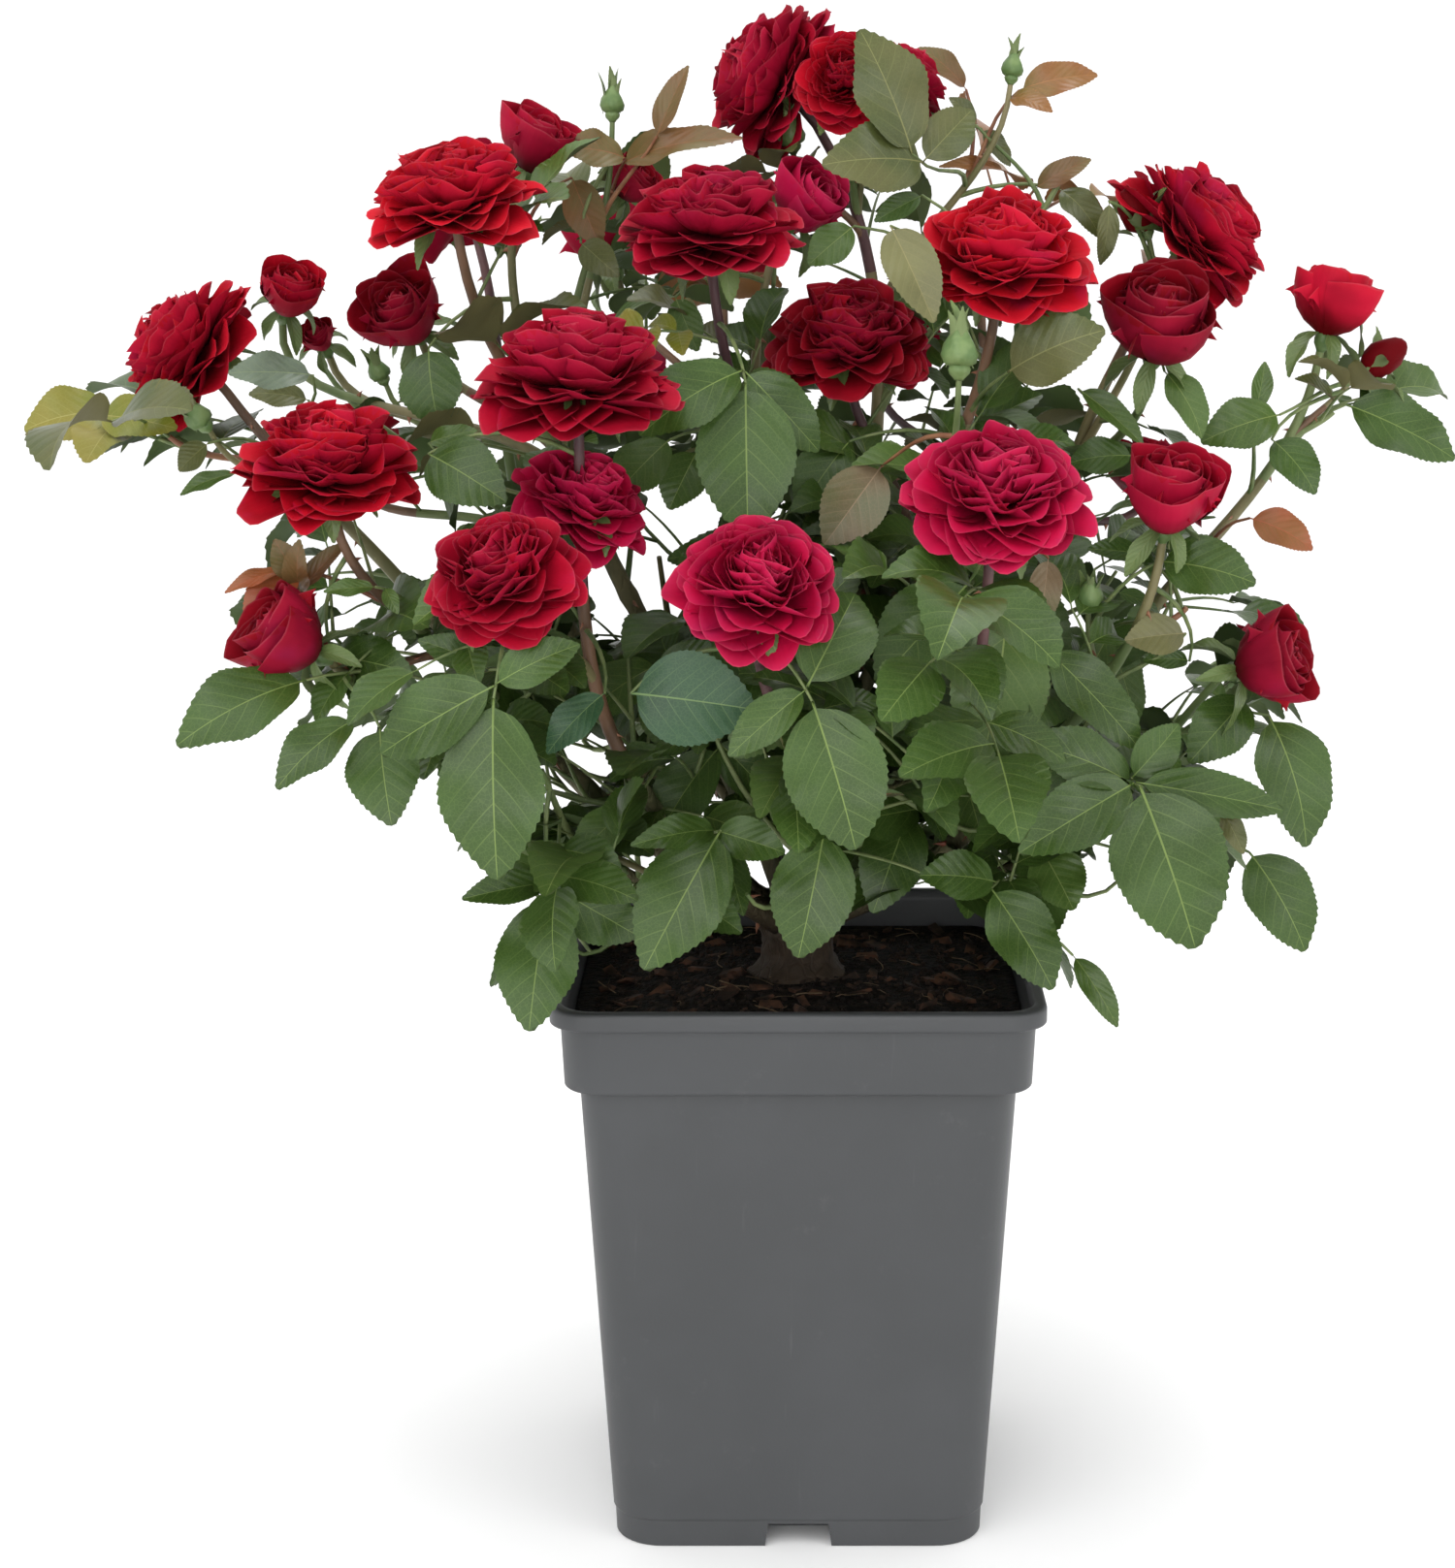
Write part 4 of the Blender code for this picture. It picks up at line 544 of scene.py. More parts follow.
class Space:
    """Says whether a leaflet may grow somewhere."""

    def __init__(self, stalks):
        self.flowers = [s for s in stalks if s["form"] in ("full", "cup")]
        self.room = Room(LEAF_ROOM)
        self.shown = []
        self.trees = {}
        for mass, *_ in MASSES:
            points = [p for s in stalks if s["mass"] == mass for p in stations(s["curve"], 8)]
            points += [s["centre"] for s in stalks if s["mass"] == mass]
            tree = KDTree(len(points))
            for i, point in enumerate(points):
                tree.insert(point, i)
            tree.balance()
            self.trees[mass] = tree

    def in_own_cell(self, mass, point, slack):
        own = self.trees[mass].find(point)[2]
        return all(own <= tree.find(point)[2] + slack
                   for name, tree in self.trees.items() if name != mass)

    def over_flower(self, point):
        """True in front of a flower's face, or inside the flower."""
        for flower in self.flowers:
            radius = flower["width"] / 2 * 0.95
            rel = point - flower["centre"]
            if rel.length < radius:
                return True
            for way in (flower["face"], outward(flower["centre"])):
                depth = rel.dot(way)
                if 0.0 < depth < FLOWER_VIEW and (rel - way * depth).length < radius:
                    return True
        return False

    @staticmethod
    def in_reach(point):
        if point.z > CROWN_REACH[-1][0] or math.hypot(point.x, point.y) > reach_at(point.z):
            return False
        half = LIP_WIDTH / 2 + CLEAR_OF_POT
        beside = max(abs(point.x), abs(point.y))
        if beside < half and point.z < POT_HEIGHT + LEAF_ABOVE_POT:
            return False
        return point.z > POT_HEIGHT - LEAF_BELOW_LIP

    @staticmethod
    def seen(point):
        """Where the line of sight from the eye to the point crosses the plane y = 0."""
        share = EYE[1] / (EYE[1] - point.y)
        return EYE[0] + (point.x - EYE[0]) * share, EYE[2] + (point.z - EYE[2]) * share

    def in_sky(self, point, margin=0.0):
        """True where the line of sight from the eye to the point is to stay clear."""
        seen_x, seen_z = self.seen(point)
        return any(math.hypot(seen_x - x, seen_z - z) < r + margin for x, z, r in SKY)

    def covers(self, point):
        """True in front of a bloom or leaf that is to stay in view."""
        seen_x, seen_z = self.seen(point)
        return any(point.y < y and math.hypot(seen_x - x, seen_z - z) < r for x, z, y, r in self.shown)

    def nearest(self, point):
        """The mass whose space holds the point."""
        return min(self.trees, key=lambda name: self.trees[name].find(point)[2])

    def settle(self, blades):
        for blade in blades:
            self.room.add(blade["base"].lerp(blade["tip"], BLADE_MIDDLE))

    def allows(self, mass, base, tip):
        middle = base.lerp(tip, BLADE_MIDDLE)
        return (self.in_reach(tip) and self.in_reach(middle) and self.room.free(middle)
                and not self.in_sky(middle, SKY_MARGIN) and not self.in_sky(tip)
                and not self.over_flower(middle) and not self.over_flower(tip)
                and not self.covers(middle) and not self.covers(tip)
                and self.in_own_cell(mass, middle, CELL_SLACK)
                and self.in_own_cell(mass, tip, CELL_SLACK + LEAFLET_TIP_SLACK))


def leaflet(petiole, share, side, tip, hint, shape=LEAFLET_SHAPE):
    """One leaflet on a petiole: side is 0 at its end, or -1 left and 1 right of it."""
    base = along(petiole, share)
    normal = across((tip - base).normalized(), hint)
    return {"share": share, "side": side, "base": base, "tip": tip, "normal": normal, "shape": shape}


def grow_fans(stalks, space):
    """The large leaves, each on a petiole from the handiest place of its mass."""
    leaves = []
    for mass, tint, node, tips in FANS:
        node = Vector(node)
        mean = sum((Vector(t[:3]) for t in tips), Vector()) / len(tips)
        arrive = (mean - node).normalized()
        best = None
        for curve in [stalk["curve"] for stalk in stalks if stalk["mass"] == mass]:
            for step in range(1, 19):
                gap = node - along(curve, step / 20.0)
                turn = gap.angle(arrive) if gap.length > 1e-3 else math.pi
                cost = abs(gap.length - FAN_REACH) + 0.020 * max(0.0, turn - 1.0)
                if best is None or cost < best[0]:
                    best = (cost, along(curve, step / 20.0), heading(curve, step / 20.0))
        _, place, stem_way = best
        leave = (stem_way * 0.5 + (node - place).normalized()).normalized()
        settle = ((node - place).normalized() + arrive * 0.6).normalized()
        petiole = bend(place, leave, node, settle)
        hint = (FRONT * 0.9 + UP * 0.55 + outward(node) * 0.25).normalized()
        normal = across(settle, hint)
        right = settle.cross(normal)
        blades = [leaflet(petiole, 1.0, 0, Vector(tips[0][:3]), hint, tips[0][3])]
        for x, y, z, broad in tips[1:]:
            tip = Vector((x, y, z))
            side = 1 if (tip - node).dot(right) > 0 else -1
            if any(b["side"] == side for b in blades):
                side = -side
            blades.append(leaflet(petiole, PAIR_SHARE, side, tip, hint, broad))
        for b in blades:
            space.room.add(node.lerp(b["tip"], BLADE_MIDDLE))
        leaves.append({"large": True, "petiole": petiole, "tint": tint, "blades": blades})
    return leaves


def age_size(z):
    """Size of the leaves at height z: the young ones at the top are smaller."""
    share = min(1.0, max(0.0, (z - YOUNG_FROM) / (CROWN_REACH[-1][0] - YOUNG_FROM)))
    return 1.0 + (YOUNG_SIZE - 1.0) * share


def compound_leaf(place, stem_way, turn, rng, scale):
    """A petiole with a leaflet at its end and two pairs beside it."""
    leave = (round_stem(stem_way, turn) * 0.85 + stem_way * 0.45 + UP * 0.12).normalized()
    length = LEAF_STALK * scale * age_size(place.z) * rng.uniform(*LEAF_SPREAD)
    droop = rng.uniform(0.1, 0.55)
    settle = (leave - UP * droop).normalized()
    node = place + (leave * 0.62 + settle * 0.38).normalized() * length
    petiole = bend(place, leave, node, settle)
    hint = (UP * 0.8 + outward(node) * 0.45).normalized()
    normal = across(settle, hint)
    right = settle.cross(normal)
    size = LEAFLET_LENGTH * scale * age_size(place.z) * rng.uniform(*LEAF_SPREAD)
    end = node + (settle - UP * 0.15).normalized() * size
    blades = [leaflet(petiole, 1.0, 0, end, hint)]
    for share, smaller in ((PAIR_SHARE, 0.86), (LOW_PAIR_SHARE, 0.68)):
        root = along(petiole, share)
        for side in (-1, 1):
            way = right * side + settle * rng.uniform(0.25, 0.5) - UP * rng.uniform(0.05, 0.3)
            tip = root + way.normalized() * size * smaller
            blades.append(leaflet(petiole, share, side, tip, hint))
    return {"large": False, "petiole": petiole, "blades": blades}


def bear_leaf(leaves, space, mass, curve, share, turn, rng, attempts, least, sizes=None):
    """Tries turns round a stem until a leaf finds room there, and gives the last turn back."""
    for attempt in range(attempts):
        turn += GOLDEN_TURN if attempt == 0 else NEXT_TURN
        scale = rng.uniform(*sizes) if sizes else 1.0
        leaf = compound_leaf(along(curve, share), heading(curve, share), turn, rng, scale)
        kept = [b for b in leaf["blades"]
                if space.allows(mass or space.nearest(b["tip"]), b["base"], b["tip"])]
        if len(kept) >= least and kept[0] is leaf["blades"][0]:
            leaf.update(blades=kept, share=share)
            leaves.append(leaf)
            space.settle(kept)
            break
    return turn


def grow_seeded_leaves(stalks, space):
    """Compound leaves set spirally up every stalk, wherever there is room for them."""
    leaves = []
    rng = random.Random(20)
    for order, stalk in enumerate(stalks):
        length = stem_length(stalk["curve"])
        if stalk["form"] == "bud" and length < 0.05:
            continue
        count = max(1, int(length * 0.86 / LEAF_STEP))
        turn = order * 1.9
        for i in range(count):
            share = 0.05 + 0.83 * (i + 0.5) / count
            if stalk["form"] == "leafy":
                share = 0.10 + 0.90 * (i + 1.0) / count
            turn = bear_leaf(leaves, space, stalk["mass"], stalk["curve"], share, turn, rng,
                             LEAF_ATTEMPTS, LEAF_LEAST)
    return leaves


# ================================================================ finer growth
class Room:
    """Places already taken, in cells as wide as the least distance between two."""

    def __init__(self, distance):
        self.distance = distance
        self.cells = {}

    def cell(self, point):
        return tuple(math.floor(c / self.distance) for c in point)

    def add(self, point):
        self.cells.setdefault(self.cell(point), []).append(point)

    def free(self, point):
        i, j, k = self.cell(point)
        for a in (i - 1, i, i + 1):
            for b in (j - 1, j, j + 1):
                for c in (k - 1, k, k + 1):
                    for other in self.cells.get((a, b, c), ()):
                        if (point - other).length <= self.distance:
                            return False
        return True


def narrow_room(space):
    """Lets smaller leaves grow between the first ones, which keep their places."""
    taken = [p for points in space.room.cells.values() for p in points]
    space.room = Room(FILL_ROOM)
    for point in taken:
        space.room.add(point)


def keep_in_view(space, fans):
    """Later leaves don't grow in front of the nearer blooms and the leaves with a set place."""
    for flower in space.flowers:
        centre = flower["centre"]
        if centre.y < VIEW_DEPTH:
            space.shown.append((*space.seen(centre), centre.y, flower["width"] * FLOWER_SHOWN))
    for leaf in fans:
        for blade in leaf["blades"]:
            middle = blade["base"].lerp(blade["tip"], 0.5)
            reach = (blade["tip"] - blade["base"]).length * LEAF_SHOWN
            space.shown.append((*space.seen(middle), middle.y, reach))


def leafiness(z):
    """Chance that a spot at height z bears a small leaf: the crown is open at its top."""
    share = (z - FILL_THINS[0]) / (FILL_THINS[1] - FILL_THINS[0])
    return 1.0 + (FILL_LEAST - 1.0) * min(1.0, max(0.0, share))


def fill_stem(leaves, space, mass, curve, shares, rng, turn):
    """Small leaves at shares of a stem, wherever they find room."""
    for share in shares:
        if rng.random() <= leafiness(along(curve, share).z):
            turn = bear_leaf(leaves, space, mass, curve, share, turn, rng,
                             FILL_ATTEMPTS, FILL_LEAST_LEAFLETS, FILL_SIZE)


def grow_fill(stalks, space):
    """Smaller leaves all along the stalks."""
    rng = random.Random(31)
    leaves = []
    for order, stalk in enumerate(stalks):
        count = max(1, int(stem_length(stalk["curve"]) / FILL_STEP))
        shares = [0.04 + 0.90 * (i + 0.5) / count for i in range(count)]
        fill_stem(leaves, space, stalk["mass"], stalk["curve"], shares, rng, order * 2.3)
    return leaves


def grow_twigs(limbs, space):
    """Short leafy twigs off the canes, which carry the growth into the crown's middle."""
    rng = random.Random(47)
    twigs = []
    leaves = []
    for limb, _, _ in limbs.values():
        count = int(stem_length(limb) * (1 - TWIG_FROM) / TWIG_STEP)
        turn = rng.uniform(0, 6)
        for i in range(count):
            share = TWIG_FROM + (1 - TWIG_FROM) * (i + 0.5) / count
            turn += GOLDEN_TURN
            root = along(limb, share)
            way = heading(limb, share)
            leave = (round_stem(way, turn) + way * 0.6).normalized()
            end = root + (leave + UP * rng.uniform(0.0, 0.7)).normalized() * rng.uniform(*TWIG_LENGTH)
            if not space.in_reach(end) or space.in_sky(end) or space.over_flower(end):
                continue
            if rng.random() > leafiness(end.z):
                continue
            curve = bend(root, leave, end, (leave * 0.4 + UP * 0.6).normalized())
            before = len(leaves)
            shares = [(k + 1.0) / TWIG_LEAVES for k in range(TWIG_LEAVES)]
            fill_stem(leaves, space, None, curve, shares, rng, turn)
            if len(leaves) > before:
                twigs.append({"curve": curve, "radius": TWIG_RADIUS * 1.3, "tip_radius": TWIG_RADIUS * 0.7})
    return twigs, leaves


def spray_tint(leaf, rng):
    """Colour of a leaf: young growth high and far out is bronze, old growth low is deep green."""
    height = leaf["petiole"][3].z
    youth = (height - 0.50) * 6 + (leaf["share"] - 0.5) * 0.8 + rng.uniform(-0.35, 0.35)
    if youth > 0.45:
        return rng.choice(("bronze", "olive", "olive", "orange", "lime"))
    if youth > 0.15:
        return rng.choice(("olive", "mid", "mid", "lime"))
    if height < 0.44:
        return rng.choice(("deep", "deep", "deep", "mid"))
    return rng.choice(("deep", "deep", "mid", "mid", "olive"))


# ================================================================ node trees
class Nodes:
    """Adds nodes to a tree."""

    def feed(self, socket, value):
        """Wires an output to the socket, or sets it to a value."""
        if hasattr(value, "links"):
            self.tree.links.new(value, socket)
        elif socket.type == "RGBA":
            socket.default_value = (*value, 1)
        else:
            socket.default_value = value

    def add(self, kind, inputs, **settings):
        node = self.tree.nodes.new(kind)
        for label, value in settings.items():
            setattr(node, label, value)
        for label, value in inputs.items():
            self.feed(node.inputs[label], value)
        return node


class Tree(Nodes):
    """Geometry node tree with named inputs."""

    def __init__(self, name, inputs):
        self.tree = bpy.data.node_groups.new(name, "GeometryNodeTree")
        self.tree.interface.new_socket("Geometry", in_out="INPUT", socket_type="NodeSocketGeometry")
        for label, kind in inputs:
            self.tree.interface.new_socket(label, in_out="INPUT", socket_type="NodeSocket" + kind)
        self.tree.interface.new_socket("Geometry", in_out="OUTPUT", socket_type="NodeSocketGeometry")
        self.given = self.tree.nodes.new("NodeGroupInput").outputs
        self.end = self.tree.nodes.new("NodeGroupOutput")

    def attribute(self, name, kind):
        node = self.add("GeometryNodeInputNamedAttribute", {"Name": name}, data_type=kind)
        return node.outputs["Attribute"]

    def random(self, kind, low, high, offset):
        """A value drawn between two others; its seed is the tree's seed plus the offset."""
        node = self.tree.nodes.new("FunctionNodeRandomValue")
        node.data_type = kind
        sockets = [s for s in node.inputs if s.enabled and s.name in ("Min", "Max")]
        sockets[0].default_value = low
        sockets[1].default_value = high
        seed = self.add("ShaderNodeMath", {0: self.given["Seed"], 1: offset})
        self.tree.links.new(seed.outputs[0], node.inputs["Seed"])
        return next(s for s in node.outputs if s.enabled)

    def set_out(self, points, kind, turn, size):
        """One of the shapes of the collection input, by the order of their names, at every point."""
        shapes = self.add("GeometryNodeCollectionInfo", {
            "Separate Children": True, "Reset Children": True, "Collection": self.given["Shapes"]})
        place = self.add("GeometryNodeInstanceOnPoints", {
            "Pick Instance": True, "Points": points, "Instance": shapes.outputs["Instances"],
            "Instance Index": kind, "Rotation": turn, "Scale": size})
        return place.outputs["Instances"]

    def finish(self, geometry, materials):
        """Ends the tree: real geometry, with a material for each finish, or one for all."""
        geometry = self.add("GeometryNodeRealizeInstances", {"Geometry": geometry}).outputs["Geometry"]
        for value, label in enumerate(materials):
            inputs = {"Geometry": geometry, "Material": self.given[label]}
            if len(materials) > 1:
                same = self.add("FunctionNodeCompare", {}, data_type="INT", operation="EQUAL")
                whole_a, whole_b = [s for s in same.inputs if s.type == "INT"]
                self.tree.links.new(self.attribute("finish", "INT"), whole_a)
                whole_b.default_value = value
                inputs["Selection"] = same.outputs["Result"]
            geometry = self.add("GeometryNodeSetMaterial", inputs).outputs["Geometry"]
        self.tree.links.new(geometry, self.end.inputs["Geometry"])
        return self.tree


def set_out_tree():
    """Sets a shape at every point by the point's turn, size and kind, and finishes its faces."""
    labels = ("Upper", "Rib", "Lower")
    tree = Tree("set out", [("Shapes", "Collection")] + [(label, "Material") for label in labels])
    return tree.finish(tree.set_out(
        tree.given["Geometry"], tree.attribute("kind", "INT"), tree.attribute("turn", "QUATERNION"),
        tree.attribute("size", "FLOAT_VECTOR")), labels)


def stem_tree():
    """Round stem along every chain of edges; a point's thickness is its radius."""
    tree = Tree("stems", [("Sides", "Int"), ("Bark", "Material")])
    path = tree.add("GeometryNodeMeshToCurve", {"Mesh": tree.given["Geometry"]})
    ring = tree.add("GeometryNodeCurvePrimitiveCircle", {"Radius": 1.0, "Resolution": tree.given["Sides"]})
    skin = tree.add("GeometryNodeCurveToMesh", {
        "Fill Caps": True, "Curve": path.outputs["Curve"], "Profile Curve": ring.outputs["Curve"],
        "Scale": tree.attribute("thickness", "FLOAT")})
    return tree.finish(skin.outputs["Mesh"], ("Bark",))


def scatter_tree(shape_count):
    """Strews the shapes over a surface, each turned about at random and laid nearly flat."""
    tree = Tree("scatter", [("Shapes", "Collection"), ("Density", "Float"), ("Smallest", "Float"),
                            ("Largest", "Float"), ("Seed", "Int"), ("Stuff", "Material")])
    strew = tree.add("GeometryNodeDistributePointsOnFaces", {
        "Mesh": tree.given["Geometry"], "Density": tree.given["Density"], "Seed": tree.given["Seed"]})
    turn = tree.random("FLOAT_VECTOR", (-0.5, -0.5, 0.0), (0.5, 0.5, 2 * math.pi), 1)
    spin = tree.add("FunctionNodeEulerToRotation", {"Euler": turn})
    size = tree.add("ShaderNodeMapRange", {
        "Value": tree.random("FLOAT", 0.0, 1.0, 2), "To Min": tree.given["Smallest"],
        "To Max": tree.given["Largest"]})
    return tree.finish(tree.set_out(
        strew.outputs["Points"], tree.random("INT", 0, shape_count - 1, 3), spin.outputs["Rotation"],
        size.outputs["Result"]), ("Stuff",))


def mesh_from(name, bm):
    """Mesh from a bmesh, which is used up."""
    mesh = bpy.data.meshes.new(name)
    bm.to_mesh(mesh)
    bm.free()
    return mesh


def add_object(name, data):
    thing = bpy.data.objects.new(name, data)
    bpy.context.scene.collection.objects.link(thing)
    return thing


def work_in_modifiers(piece):
    """Makes what the modifiers give the piece's own plain mesh."""
    depsgraph = bpy.context.evaluated_depsgraph_get()
    result = bpy.data.meshes.new_from_object(piece.evaluated_get(depsgraph))
    piece.modifiers.clear()
    piece.data = result
    return result


def run_tree(name, mesh, tree, values):
    """Runs a node tree on a mesh and keeps the result as a plain mesh object."""
    piece = add_object(name, mesh)
    modifier = piece.modifiers.new("tree", "NODES")
    modifier.node_group = tree
    for item in tree.interface.items_tree:
        if item.item_type == "SOCKET" and item.in_out == "INPUT" and item.name in values:
            modifier[item.identifier] = values[item.name]
    result = work_in_modifiers(piece)
    for used in ("turn", "size", "kind", "finish", "thickness"):
        if used in result.attributes:
            result.attributes.remove(result.attributes[used])
    result.name = name
    return piece


def shape_group(name, shapes):
    """Collection of shapes, picked by their place in the list."""
    group = bpy.data.collections.new(name)
    for order, bm in enumerate(shapes):
        label = "%s_%02d" % (name, order)
        group.objects.link(bpy.data.objects.new(label, mesh_from(label, bm)))
    return group


def mesh_of_points(points, edges, **attributes):
    """Loose points or chains of edges whose points carry attributes: kind, field and values."""
    mesh = bpy.data.meshes.new("points")
    mesh.from_pydata(points, edges, [])
    for name, (kind, field, values) in attributes.items():
        mesh.attributes.new(name, kind, "POINT").data.foreach_set(field, values)
    return mesh


def point_mesh(rows):
    """Loose points that each carry a turn, a size and a kind."""
    return mesh_of_points([row[0] for row in rows], [],
                          turn=("QUATERNION", "value", [c for row in rows for c in row[1]]),
                          size=("FLOAT_VECTOR", "vector", [c for row in rows for c in row[2]]),
                          kind=("INT", "value", [row[3] for row in rows]))


def chain_mesh(chains):
    """Chains of edges whose points carry a thickness."""
    points = []
    edges = []
    radii = []
    for chain, thickness in chains:
        edges.extend((i, i + 1) for i in range(len(points), len(points) + len(chain) - 1))
        points.extend(chain)
        radii.extend(thickness)
    return mesh_of_points(points, edges, thickness=("FLOAT", "value", radii))


# ================================================================ finishes
class Finish(Nodes):
    """A material in the making; a call that makes a pattern returns its output."""

    def __init__(self, name, roughness, specular=0.5, sheen=0.0, sheen_tint=(1, 1, 1)):
        self.material = bpy.data.materials.new(name)
        self.material.use_nodes = True
        self.tree = self.material.node_tree
        self.shader = self.tree.nodes["Principled BSDF"]
        settings = {"Roughness": roughness, "Specular IOR Level": specular, "Sheen Weight": sheen,
                    "Sheen Tint": sheen_tint, "Sheen Roughness": 0.4}
        for label, value in settings.items():
            self.feed(self.shader.inputs[label], value)
        self.place = self.tree.nodes.new("ShaderNodeTexCoord").outputs["Object"]

    def maths(self, operation, first, second=0.0, third=0.0):
        return self.add("ShaderNodeMath", {0: first, 1: second, 2: third}, operation=operation).outputs[0]

    def stretched(self, stretch):
        return self.add("ShaderNodeMapping", {"Scale": stretch, "Vector": self.place}).outputs["Vector"]

    def noise(self, scale, detail=2.0, roughness=0.5, stretch=(1, 1, 1)):
        return self.add("ShaderNodeTexNoise", {
            "Scale": scale, "Detail": detail, "Roughness": roughness,
            "Vector": self.stretched(stretch)}).outputs["Fac"]

    def cells(self, scale, feature="F1", stretch=(1, 1, 1)):
        return self.add("ShaderNodeTexVoronoi", {"Scale": scale, "Vector": self.stretched(stretch)},
                        feature=feature).outputs["Distance"]

    def span(self, value, low, high, to_low=0.0, to_high=1.0):
        """The value eased from between low and high to between two others."""
        return self.add("ShaderNodeMapRange", {
            "From Min": low, "From Max": high, "To Min": to_low, "To Max": to_high,
            "Value": value}, interpolation_type="SMOOTHSTEP").outputs["Result"]

    def mix(self, share, first, second):
        return self.add("ShaderNodeMix", {0: share, 6: first, 7: second}, data_type="RGBA").outputs[2]

    def split(self, vector):
        return self.add("ShaderNodeSeparateXYZ", {"Vector": vector}).outputs

    def uv(self):
        return self.split(self.add("ShaderNodeUVMap", {}, uv_map="UVMap").outputs["UV"])[:2]

    def bump(self, height, strength, distance):
        node = self.add("ShaderNodeBump", {"Strength": strength, "Distance": distance, "Height": height})
        self.feed(self.shader.inputs["Normal"], node.outputs["Normal"])

    def colour(self, value):
        self.feed(self.shader.inputs["Base Color"], value)

    def roughness(self, value):
        self.feed(self.shader.inputs["Roughness"], value)


def shade(colour, factor):
    return tuple(c * factor for c in colour)


def blend(first, second, share):
    return tuple(a + (b - a) * share for a, b in zip(first, second))


# Upper side, rib and underside of each leaf colour.
LEAF_TINTS = {
    "deep": ((0.034, 0.071, 0.010), (0.138, 0.197, 0.050), (0.069, 0.106, 0.035)),
    "mid": ((0.053, 0.100, 0.017), (0.169, 0.223, 0.062), (0.099, 0.139, 0.050)),
    "teal": ((0.022, 0.063, 0.026), (0.125, 0.197, 0.073), (0.061, 0.102, 0.043)),
    "olive": ((0.070, 0.090, 0.024), (0.170, 0.175, 0.062), (0.135, 0.125, 0.052)),
    "lime": ((0.165, 0.190, 0.020), (0.281, 0.262, 0.078), (0.246, 0.244, 0.077)),
    "bronze": ((0.185, 0.080, 0.030), (0.250, 0.105, 0.045), (0.246, 0.126, 0.059)),
    "red": ((0.350, 0.060, 0.018), (0.330, 0.090, 0.040), (0.270, 0.084, 0.042)),
    "orange": ((0.260, 0.100, 0.030), (0.312, 0.144, 0.050), (0.344, 0.160, 0.063)),
    "pale": ((0.129, 0.127, 0.048), (0.206, 0.183, 0.078), (0.172, 0.160, 0.070)),
    "silver": ((0.094, 0.125, 0.084), (0.174, 0.216, 0.112), (0.140, 0.177, 0.105)),
    "pink": ((0.125, 0.138, 0.058), (0.262, 0.183, 0.112), (0.213, 0.177, 0.105)),
    "sepal": ((0.102, 0.152, 0.045), (0.187, 0.223, 0.084), (0.155, 0.202, 0.085)),
}
# Second colour of young leaves, drawn over them in broad patches.
YOUNG_FLUSH = {
    "olive": (0.092, 0.088, 0.028), "lime": (0.200, 0.150, 0.022), "bronze": (0.085, 0.100, 0.028),
    "orange": (0.105, 0.125, 0.026), "pink": (0.150, 0.085, 0.050), "red": (0.150, 0.090, 0.026),
}
VEIN_COUNT = 7.0
VEIN_SLOPE = 4.0
VEIN_CURVE = 2.5
NET_SCALE = 620.0            # meshes of the vein net to a metre


def leaf_finish(tint):
    """Materials of a leaf: satin upper side with side veins, smooth rib, dull underside."""
    upper, rib, lower = LEAF_TINTS[tint]
    face = Finish("leaf_" + tint, 0.40, specular=0.36)
    u, v = face.uv()
    side = face.maths("ABSOLUTE", face.maths("SUBTRACT", u, 0.5))
    lag = face.maths("MULTIPLY", side, face.maths("MULTIPLY_ADD", side, VEIN_CURVE, VEIN_SLOPE))
    order = face.maths("SUBTRACT", face.maths("MULTIPLY", v, VEIN_COUNT), lag)
    ridge = face.maths("ABSOLUTE", face.maths("SUBTRACT", face.maths("FRACT", order), 0.5))
    vein = face.maths("MULTIPLY", face.span(ridge, 0.44, 0.49), face.span(side, 0.05, 0.50, 0.50, 0.12))
    net = face.span(face.cells(NET_SCALE, "DISTANCE_TO_EDGE"), 0.0, 0.10, 0.20, 0.0)
    patches = face.span(face.noise(34.0, 2.0), 0.32, 0.68)
    light = shade(upper, 1.10)
    flesh = face.mix(patches, shade(upper, 0.80), blend(light, YOUNG_FLUSH.get(tint, light), 0.75))
    face.colour(face.mix(face.maths("MAXIMUM", vein, net), flesh, blend(upper, rib, 0.8)))
    crinkle = face.maths("MULTIPLY", face.noise(300.0, 2.0), 0.35)
    face.bump(face.maths("ADD", face.maths("MULTIPLY", ridge, -1.0), crinkle), 0.30, 0.0007)
    face.roughness(face.span(patches, 0.0, 1.0, 0.32, 0.46))
    spine = Finish("rib_" + tint, 0.5, specular=0.3)
    spine.colour(spine.mix(spine.noise(120.0), shade(rib, 0.85), shade(rib, 1.1)))
    back = Finish("underside_" + tint, 0.7, specular=0.2)
    back.colour(back.mix(back.noise(60.0, 3.0), shade(lower, 0.85), shade(lower, 1.12)))
    back.bump(back.noise(300.0, 2.0), 0.2, 0.0005)
    return face.material, spine.material, back.material


# Deep part, body and rim of each petal colour: the deep part is painted shade towards the petal's foot, the
# lighter rim is painted highlight.
PETAL_TINTS = {
    "red": ((0.070, 0.001, 0.003), (0.390, 0.003, 0.013), (0.520, 0.014, 0.032)),
    "bright": ((0.100, 0.001, 0.003), (0.470, 0.005, 0.015), (0.600, 0.020, 0.036)),
    "crimson": ((0.055, 0.001, 0.004), (0.330, 0.003, 0.018), (0.450, 0.018, 0.046)),
    "dark": ((0.050, 0.001, 0.003), (0.230, 0.003, 0.010), (0.340, 0.012, 0.025)),
    "pink": ((0.085, 0.001, 0.008), (0.430, 0.004, 0.042), (0.580, 0.034, 0.115)),
}
PURPLE_SHEEN_AND_REVERSE = (0.30, 0.012, 0.070)   # purple drawn over the petals in patches as painted sheen, and blended into their reverse as its own tint
RIM_HIGHLIGHT_LINE = (0.62, 0.20, 0.24)      # painted highlight: the pale line along a petal's rim
